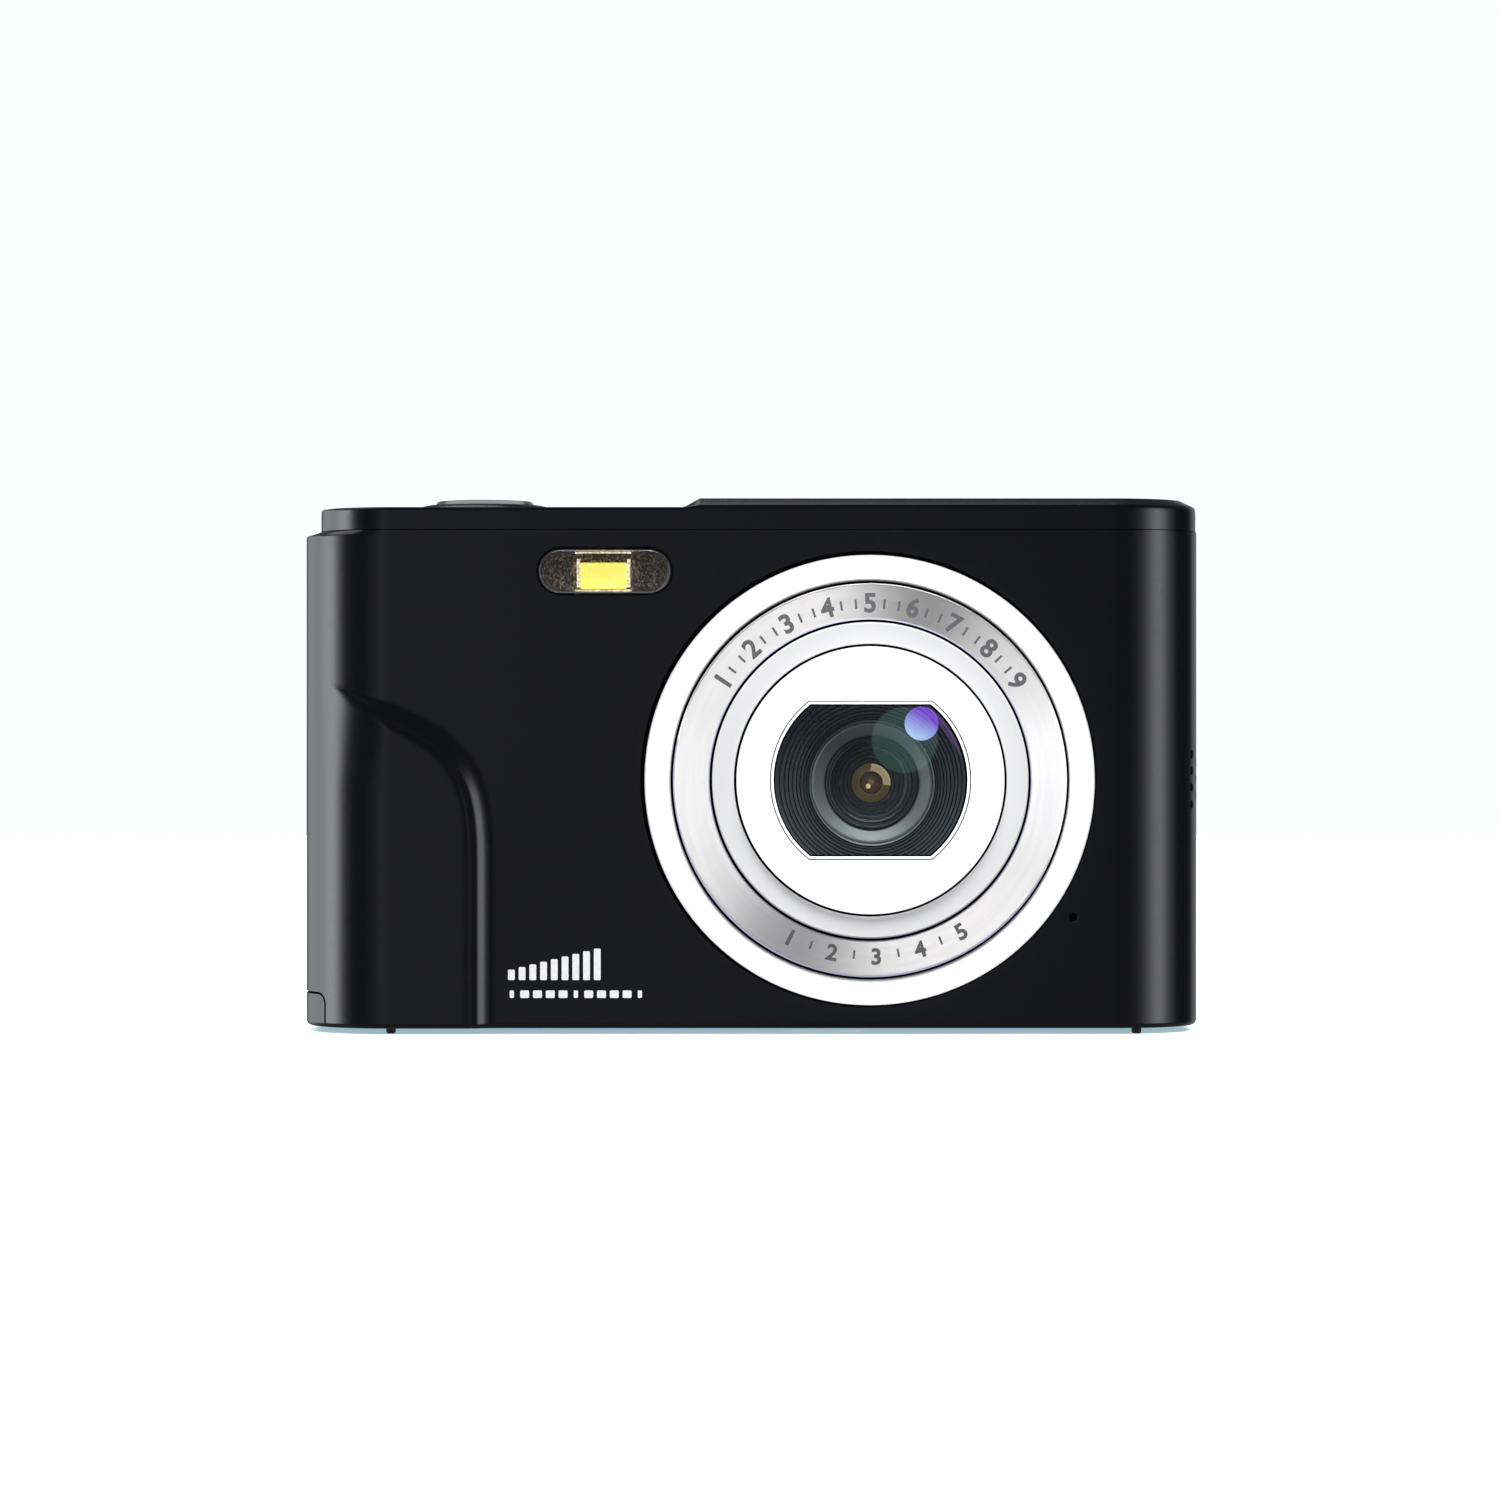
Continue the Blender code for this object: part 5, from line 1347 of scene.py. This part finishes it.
def make_screws():
    """Pan heads with a cross recess."""
    for node in SCREWS:
        low, high = mm_box(node)
        centre = (low + high) / 2
        inward = 1
        if "bottom" in node:
            axis, across, up, outside, length = "Z", centre.x, centre.y - MID_Y, low.z, high.z - low.z
        else:
            axis, across, up, outside, length = "X", centre.y - MID_Y, centre.z, low.x, high.x - low.x
            if "right" in node:
                outside, inward = high.x, -1
        at = lambda depth: outside + inward * depth
        profile = [(0.0, at(0.0)), (0.9, at(0.02)), (1.3, at(0.12), 0.1), (1.3, at(0.7)), (0.7, at(0.72)),
                   (0.7, at(length)), (0.0, at(length))]
        screw = turned(node + "_head", soft(profile), (across, up), axis, M["steel"], TINY)
        cross = []
        for width, height in ((1.5, 0.32), (0.32, 1.5)):
            slot = centred(across, up, width, height, 0.05, 2)
            tip = centred(across, up, width * 0.45, height * 0.6, 0.02, 2)
            cross.append(stepped("tool", [(slot, at(-0.3)), (slot, at(0.15)), (tip, at(0.6))], axis))
        carve(screw, cross)
        settle(screw, node)


def make_feet():
    for node in FEET:
        low, high = mm_box(node)
        x, y = (low.x + high.x) / 2, (low.y + high.y) / 2 - MID_Y
        width, depth = high.x - low.x, high.y - low.y
        steps = [(centred(x, y, width - 2 * cut, depth - 2 * cut, 0.4 - cut * 0.9, 6), along)
                 for cut, along in ((0.22, low.z), (0.06, low.z + 0.06), (0.0, low.z + 0.2), (0.0, high.z))]
        settle(stepped(node + "_pad", steps, "Z", M["rubber"]), node)


def make_tripod_socket():
    """A brass insert with a real helical thread of 1.27 mm pitch."""
    low, high = mm_box("tripod_insert")
    pitch, crest, root = 1.27, 3.175, 3.6
    top = high.z - 1.2
    segments, rows = 64, 56
    inner = []
    for row in range(rows + 1):
        z = low.z + 0.25 + (top - low.z - 0.25) * row / rows
        ring = []
        for step in range(segments):
            phase = ((z - low.z) / pitch - step / segments) % 1.0
            radius = crest + (root - crest) * min(1.0, 2.2 * min(phase, 1 - phase))
            if row == 0:
                radius = root
            angle = 2 * math.pi * step / segments
            ring.append((TRIPOD_X + radius * math.cos(angle), TRIPOD_Y + radius * math.sin(angle), z))
        inner.append(ring)

    def level(radius, z):
        return [(x, y, z) for x, y in circle(TRIPOD_X, TRIPOD_Y, radius, segments)]
    outside = ((4.2, top), (4.2, 3.5), (4.6, 3.5), (4.6, low.z + 1.7), (4.1, low.z + 1.7), (4.1, low.z + 0.1),
               (4.0, low.z), (3.75, low.z))
    rings = [level(*place) for place in outside] + inner + [level(0.3, top)]
    socket = skin("tripod_bush", rings, M["brass"], caps=False)
    body = bmesh.new()
    body.from_mesh(socket.data)
    bmesh.ops.holes_fill(body, edges=[edge for edge in body.edges if edge.is_boundary])
    bmesh.ops.recalc_face_normals(body, faces=body.faces)
    body.to_mesh(socket.data)
    body.free()
    shade(socket.data)
    settle(socket, "tripod_insert")


def make_usb_port():
    """Socket shell with rolled mouth, its tongue and a row of contacts."""
    low, high = mm_box("usb_port")
    low_y, high_y = depths("usb_port")

    def outline(shrink):
        return rounded(low_y + shrink, low.z + shrink, high_y - shrink, high.z - shrink, 1.2 - shrink, 8)
    steps = [(outline(0.0), high.x), (outline(0.0), low.x + 0.12), (outline(0.06), low.x)]
    shell = stepped("usb_shell", steps, "X", M["steel"])
    carve(shell, [stepped("tool", [(outline(0.16), low.x - 1), (outline(0.2), low.x + 0.02),
                                   (outline(0.32), low.x + 0.2), (outline(0.32), high.x - 0.6)], "X")])
    settle(shell, "usb_port")
    middle_y, middle_z = (low_y + high_y) / 2, (low.z + high.z) / 2
    tongue = prism("usb_tongue", centred(middle_y, middle_z, 0.6, 5.6, 0.2, 3), low.x + 0.9, high.x - 0.6,
                   "X", M["inner"])
    settle(tongue, "usb_port", False)
    pins = []
    for side in (-1, 1):
        for index in range(8):
            z = middle_z + 0.62 * (index - 3.5)
            y = middle_y + side * 0.32
            pins.append(block("pin", (low.x + 1.1, y - 0.04, z - 0.12), (high.x - 0.8, y + 0.04, z + 0.12),
                              M["brass"]))
    settle(join("usb_contacts", pins), "usb_port", False)


def make_front_print():
    """A plain row of level bars over a row of short dashes, low on the front beside the grip."""
    left, base = -25.9, 5.75
    outlines = []
    for index in range(9):
        height = 1.1 + 0.28 * index
        outlines.append(centred(left + 0.4 + 1.14 * index, base + height / 2, 0.72, height, 0.12, 3))
    for index in range(11):
        wide = 0.95 if index % 5 else 0.45
        outlines.append(centred(left + 0.45 + 1.36 * index, 4.25, wide, 0.8, 0.14, 3))
    pieces = [prism("mark", outline, -BODY_FACE - 0.02, -BODY_FACE + 0.02, "Y", M["print"])
              for outline in outlines]
    settle(join("front_print", pieces), "front_shell", False)


def make_battery_parts():
    """Battery in its wrap, with three contact pads."""
    low, high = mm_box("battery")
    low_y, high_y = depths("battery")

    def outline(shrink):
        return rounded(low.x + shrink, low_y + shrink, high.x - shrink, high_y - shrink, 1.6 - shrink, 8)
    steps = [(outline(0.5), low.z), (outline(0.15), low.z + 0.15), (outline(0.0), low.z + 0.5),
             (outline(0.0), high.z - 0.5), (outline(0.15), high.z - 0.15), (outline(0.5), high.z)]
    settle(stepped("battery_cell", steps, "Z", M["wrap"]), "battery")
    middle_y = (low_y + high_y) / 2
    pads = [block("pad", (x - 1.4, middle_y - 1.0, low.z - 0.03),
                  (x + 1.4, middle_y + 1.0, low.z + 0.1), M["brass"]) for x in (-33.0, -26.0, -19.0)]
    settle(join("battery_pads", pads), "battery", False)


def make_microphone_mesh():
    """The lining seen through the microphone's hole, and a black sheet behind the speaker's holes that paints
    shade in them.
    """
    lining = turned("microphone_screen", soft([(0.0, -8.38), (1.6, -8.38, 0.05), (1.6, -8.25), (0.0, -8.25)]),
                    (MIC_X, MIC_Z), "Y", M["inner"], TINY)
    settle(lining, "microphone", False)
    # Painted shade: a black sheet behind the speaker's holes.
    lining = prism("speaker_hole_shade", centred(-2.1, SPEAKER_Z, 5.6, 7.4, 0.6, 5), 46.15, 46.35, "X", M["painted_shade"])
    settle(lining, "front_shell", False)


# ---------------------------------------------------------------- battery door

def make_battery_door():
    """The door: a slice of the same outside as the shells, hollowed, with its knuckles and inner ribs."""
    rings = []
    for z, inset in [level[:2] for level in shell_levels(False)[:9]] + [(8.0, 0.0)]:
        rings.append([(x, y - grip_rise(x, y, z), z) for x, y in whole_outline(inset)])
    door = skin("battery_hatch", rings, M["body"])
    carve(door, [door_region(0.0, HINGE_X)], "INTERSECT")
    carve(door, [prism("tool", whole_outline(DOOR_WALL), BOTTOM_Z + DOOR_WALL, 60, "Z")])
    axis = (HINGE_X, HINGE_Z)
    knuckles = []
    for low, high in ((DOOR_FRONT_Y, -KNUCKLE_HALF - 0.15), (KNUCKLE_HALF + 0.15, DOOR_REAR_Y)):
        profile = soft([(0.0, low), (HINGE_RADIUS, low, 0.08), (HINGE_RADIUS, high, 0.08), (0.0, high)], 2)
        knuckles.append(turned("tool", profile, axis, "Y", None, TINY))
    carve(door, knuckles, "UNION")
    bore = [(0.0, -8), (PIN_RADIUS + 0.06, -8), (PIN_RADIUS + 0.06, 8), (0.0, 8)]
    carve(door, [block("tool", (HINGE_X - 1.45, -KNUCKLE_HALF - 0.15, -1),
                       (HINGE_X + 3, KNUCKLE_HALF + 0.15, 5)),
                 turned("tool", bore, axis, "Y", None, TINY)])
    settle(door, "battery_door")
    # Painted shade in the door's seam: a black strip just inside the gap round the door.
    rings = [[(x, y - grip_rise(x, y, z), z) for x, y in whole_outline(inset + 0.22)]
             for z, inset in ((BOTTOM_Z + 0.45, 0.25), (BOTTOM_Z + EDGE, 0.0), (8.0, 0.0))]
    seam_shade = skin("hatch_seam_shade", rings, M["painted_shade"])
    carve(seam_shade, [door_region(DOOR_SEAM - 0.01, HINGE_X)], "INTERSECT")
    carve(seam_shade, [door_region(0.02, HINGE_X + 2)])
    settle(seam_shade, "front_shell", False)
    floor = BOTTOM_Z + DOOR_WALL
    ribs = [block("rib", (x - 0.35, -5.2, floor - 0.05), (x + 0.35, 4.1, floor + 0.9), M["inner"])
            for x in (-40.0, -32.0, -24.0, -16.0)]
    settle(join("hatch_ribs", ribs), "battery_door", False)
    pad = stepped("hatch_pad", [(centred(-28.0, -2.0, 6.0, 3.0, 0.5, 5), floor + 0.9),
                                (centred(-28.0, -2.0, 5.8, 2.8, 0.45, 5), floor + 1.6)], "Z", M["rubber"])
    settle(pad, "battery_door", False)
    thumb = [prism("groove", rounded(x, -3.2, x + 0.35, 2.0, 0.15, 3), BOTTOM_Z - 0.01, BOTTOM_Z + 0.04, "Z",
                   M["inner"]) for x in (-43.0, -42.2, -41.4, -40.6, -39.8)]
    settle(join("hatch_grip_lines", thumb), "battery_door", False)


# ---------------------------------------------------------------- the frame's own nodes

CLEAR = ("pane", "element", "inner_element", "glare", "veil", "wine")


def clear_glass():
    """Lets light pass through the lens's glass without a shadow."""
    for piece in bpy.context.scene.objects:
        if piece.type == "MESH" and has_look(piece, CLEAR):
            piece.visible_shadow = False


def dress_frame():
    """Materials of the CAD nodes that stay."""
    looks = {"inner_element": ("rear_lens",), "screen": ("image_sensor",), "rubber": ("key_mat",),
             "circuit": ("main_board", "key_board"), "brass": ("battery_contacts",),
             "steel": ("lcd_frame", "card_slot", "microphone", "door_hinge_pin"),
             "inner": ("lens_holder", "lcd_panel", "battery_tray", "speaker", "door_slider", "shutter_switch",
                       "power_switch")}
    for look, nodes in looks.items():
        for node in nodes:
            materials = frame["nodes"][node].data.materials
            materials.clear()
            materials.append(M[look])


# ---------------------------------------------------------------- light, floor and view

def has_look(piece, keys):
    first = piece.data.materials[0] if piece.data.materials else None
    return first in [M[key] for key in keys]


def receivers(name, keys, wanted=True):
    """A collection for light linking, of the meshes that have one of the looks, or of all the others."""
    group = bpy.data.collections.new(name)
    for piece in bpy.context.scene.objects:
        if piece.type == "MESH" and has_look(piece, keys) == wanted:
            group.objects.link(piece)
    return group


def panel(name, turn, rise, distance, width, height, radiance, lit=None, colour=(1.0, 1.0, 1.0)):
    """A soft box facing the camera body; turn is counted from -Y towards +X, rise from the level."""
    light = bpy.data.lights.new(name, "AREA")
    light.shape = "RECTANGLE"
    light.size, light.size_y = width, height
    light.energy = radiance * width * height * math.pi
    light.color = colour
    holder = bpy.data.objects.new(name, light)
    turn, rise = math.radians(turn), math.radians(rise)
    direction = Vector((math.sin(turn) * math.cos(rise), -math.cos(turn) * math.cos(rise), math.sin(rise)))
    aim = Vector((0.0, MID_Y * MM, 0.03))
    holder.location = aim + direction * distance
    holder.rotation_euler = (-direction).to_track_quat("-Z", "Y").to_euler()
    holder.visible_camera = False
    if lit:
        holder.light_linking.receiver_collection = lit
    bpy.context.scene.collection.objects.link(holder)
    return holder


# Small lights in a circle, at these degrees from +X towards +Z, that the scale ring's tool marks fan out.
SPUN_TURNS = (0, 15, 30, 45, 93, 104, 116, 130, 145, 160, 175, 190, 205, 220, 274, 286, 300, 312, 325, 340)
SPUN_LEVEL, SPUN_CIRCLE = 2.3, 0.55


def make_lights():
    """The black body mirrors the room and one soft light; most other looks have light of their own."""
    inner = ("baffle", "retainer", "barrel", "amber", "pupil", "glint", "tan")
    dark = ("body", "button", "floor", "spun", *inner, "element", "inner_element", "glare", "veil", "wine")
    panel("key_top", 0, 52, 1.3, 1.0, 0.7, 11.0, receivers("lit_by_key", dark, False))
    white = receivers("lit_white", ("bright", "face"))
    pale = receivers("lit_step", ("pale", "line"))
    panel("step_front", 0, -10, 1.2, 2.0, 2.0, 0.33, pale)
    panel("white_front", 0, 5, 1.2, 2.0, 2.0, 0.8, white)
    panel("white_under", 0, -48, 1.0, 1.4, 0.9, 4.5, white)
    inside = receivers("lit_inside", inner)
    panel("inside_top", 8, 48, 1.2, 1.0, 0.8, 13.0, inside, (0.90, 1.0, 0.99))
    panel("inside_front", -25, -4, 1.2, 0.8, 0.8, 3.5, inside, (0.86, 0.97, 1.0))
    core = receivers("lit_core", inner[3:])
    panel("inside_core", 3, 3, 0.6, 0.1, 0.1, 75.0, core, (1.0, 0.93, 0.84))
    panel("button_glow", 0, 88, 1.0, 4.0, 2.0, 0.42, receivers("lit_buttons", ("button",)))
    panel("body_upper_left", -112, 64, 1.0, 1.3, 0.8, 1.3, receivers("lit_body", ("body",)))
    panel("floor_wash", 0, 90, 1.6, 5.0, 5.0, 2.6, receivers("lit_floor", ("floor",)))
    spun = receivers("lit_scale", ("spun", "mark"))
    for turn in SPUN_TURNS:
        spot = panel(f"spun_{turn:03d}", 0, 0, 1.0, 0.22, 0.22, SPUN_LEVEL, spun)
        angle = math.radians(turn)
        spot.location = (SPUN_CIRCLE * math.cos(angle), -1.0, 0.03 + SPUN_CIRCLE * math.sin(angle))
        spot.rotation_euler = (-spot.location).to_track_quat("-Z", "Y").to_euler()


# Brightness of the room round the camera body at degrees from the front, counted from -Y towards +X: a large
# soft box on the left, a narrow one on the right, a faint glow beside the camera and a dark back.
ROOM = ((-180, 0.08), (-158, 0.20), (-149, 0.75), (-140, 1.10), (-125, 1.75), (-117, 2.1), (-110, 2.6),
        (-103, 3.5), (-95, 4.9), (-89, 5.4), (-82, 4.4), (-77, 2.1), (-71, 0.6), (-64, 0.15), (-55, 0.10),
        (-36, 0.10), (-23, 0.28), (-13, 0.52), (-6, 0.40), (0, 0.21), (4, 0.13), (25, 0.11), (35, 0.22),
        (43, 0.58), (52, 1.75), (60, 3.3), (65, 3.8), (71, 3.1), (80, 0.95), (96, 0.04), (131, 0.04),
        (142, 0.42))
BOX_TOP = 6.0        # brightness that the colour ramp's white stands for


def make_world():
    """White to the camera; for light, a dim room with soft boxes at the sides."""
    world = bpy.data.worlds.new("room")
    bpy.context.scene.world = world
    world.use_nodes = True
    tree = world.node_tree
    background = tree.nodes["Background"]
    ray = add(tree, "LightPath").outputs["Is Camera Ray"]
    way = add(tree, "SeparateXYZ", Vector=add(tree, "TexCoord").outputs["Generated"])
    front = maths(tree, "MULTIPLY", way.outputs[1], -1.0)
    angle = maths(tree, "ARCTAN2", way.outputs[0], front)
    place = add(tree, "MapRange", i0=angle, i1=-math.pi, i2=math.pi).outputs[0]
    ramp = add(tree, "ValToRGB", i0=place)
    stops = ramp.color_ramp.elements
    for index, (degrees, level) in enumerate(ROOM):
        position = (degrees + 180) / 360
        stop = stops[index] if index < 2 else stops.new(position)
        stop.position = position
        stop.color = (level / BOX_TOP,) * 3 + (1.0,)
    lift = maths(tree, "ABSOLUTE", way.outputs[2])
    level_band = add(tree, "MapRange", {"interpolation_type": "SMOOTHSTEP"}, i0=lift, i1=0.20, i2=0.44,
                     i3=1.0, i4=0.0).outputs[0]
    around = maths(tree, "MULTIPLY", ramp.outputs[0], BOX_TOP)
    still = add(tree, "MapRange", i0=way.outputs[2], i1=-0.2, i2=0.4, i3=0.17, i4=0.10).outputs[0]
    bands = add(tree, "Mix", {"data_type": "FLOAT"}, i0=level_band, i2=still, i3=around).outputs[0]
    level = add(tree, "Mix", {"data_type": "FLOAT"}, i0=ray, i2=bands, i3=1.0).outputs[0]
    tree.links.new(level, background.inputs["Strength"])
    background.inputs["Color"].default_value = (0.985, 0.995, 1.07, 1.0)


def pale_floor():
    material, tree, shader = start("pale_floor")
    fine = noise(tree, 150.0, 4.0)
    wire(tree, shader, Base_Color=two_tone(tree, fine, (0.88, 0.88, 0.88), (0.90, 0.90, 0.90)), Roughness=0.9,
         Emission_Color=(0.62, 0.90, 1.0, 1.0), Emission_Strength=0.5)
    return material


def make_floor():
    mesh_data = bmesh.new()
    bmesh.ops.create_grid(mesh_data, x_segments=8, y_segments=8, size=1300.0)
    floor = finish("floor", mesh_data, M["floor"])
    floor.visible_glossy = False
    floor.visible_diffuse = False
    floor.visible_shadow = False


def make_camera():
    camera = bpy.data.cameras.new("camera")
    camera.sensor_width = 36.0
    camera.lens = CAMERA_LENS
    camera.clip_start = 0.01
    holder = bpy.data.objects.new("camera", camera)
    holder.location = (CAMERA_X * MM, (MID_Y - CAMERA_DISTANCE) * MM, CAMERA_Z * MM)
    holder.rotation_euler = (math.pi / 2, 0.0, 0.0)
    bpy.context.scene.collection.objects.link(holder)
    bpy.context.scene.camera = holder


def build():
    make_camera()
    make_front_shell()
    make_rear_shell()
    make_top_cover()
    make_buttons()
    make_keys()
    make_lens_rings()
    make_lens_inside()
    make_coating()
    make_scale_marks()
    make_flash()
    make_screen()
    make_screws()
    make_feet()
    make_tripod_socket()
    make_usb_port()
    make_front_print()
    make_battery_parts()
    make_microphone_mesh()
    make_battery_door()
    dress_frame()
    clear_glass()
    M["floor"] = pale_floor()
    make_floor()
    make_lights()
    make_world()
    bpy.context.scene.view_settings.view_transform = "Standard"


build()
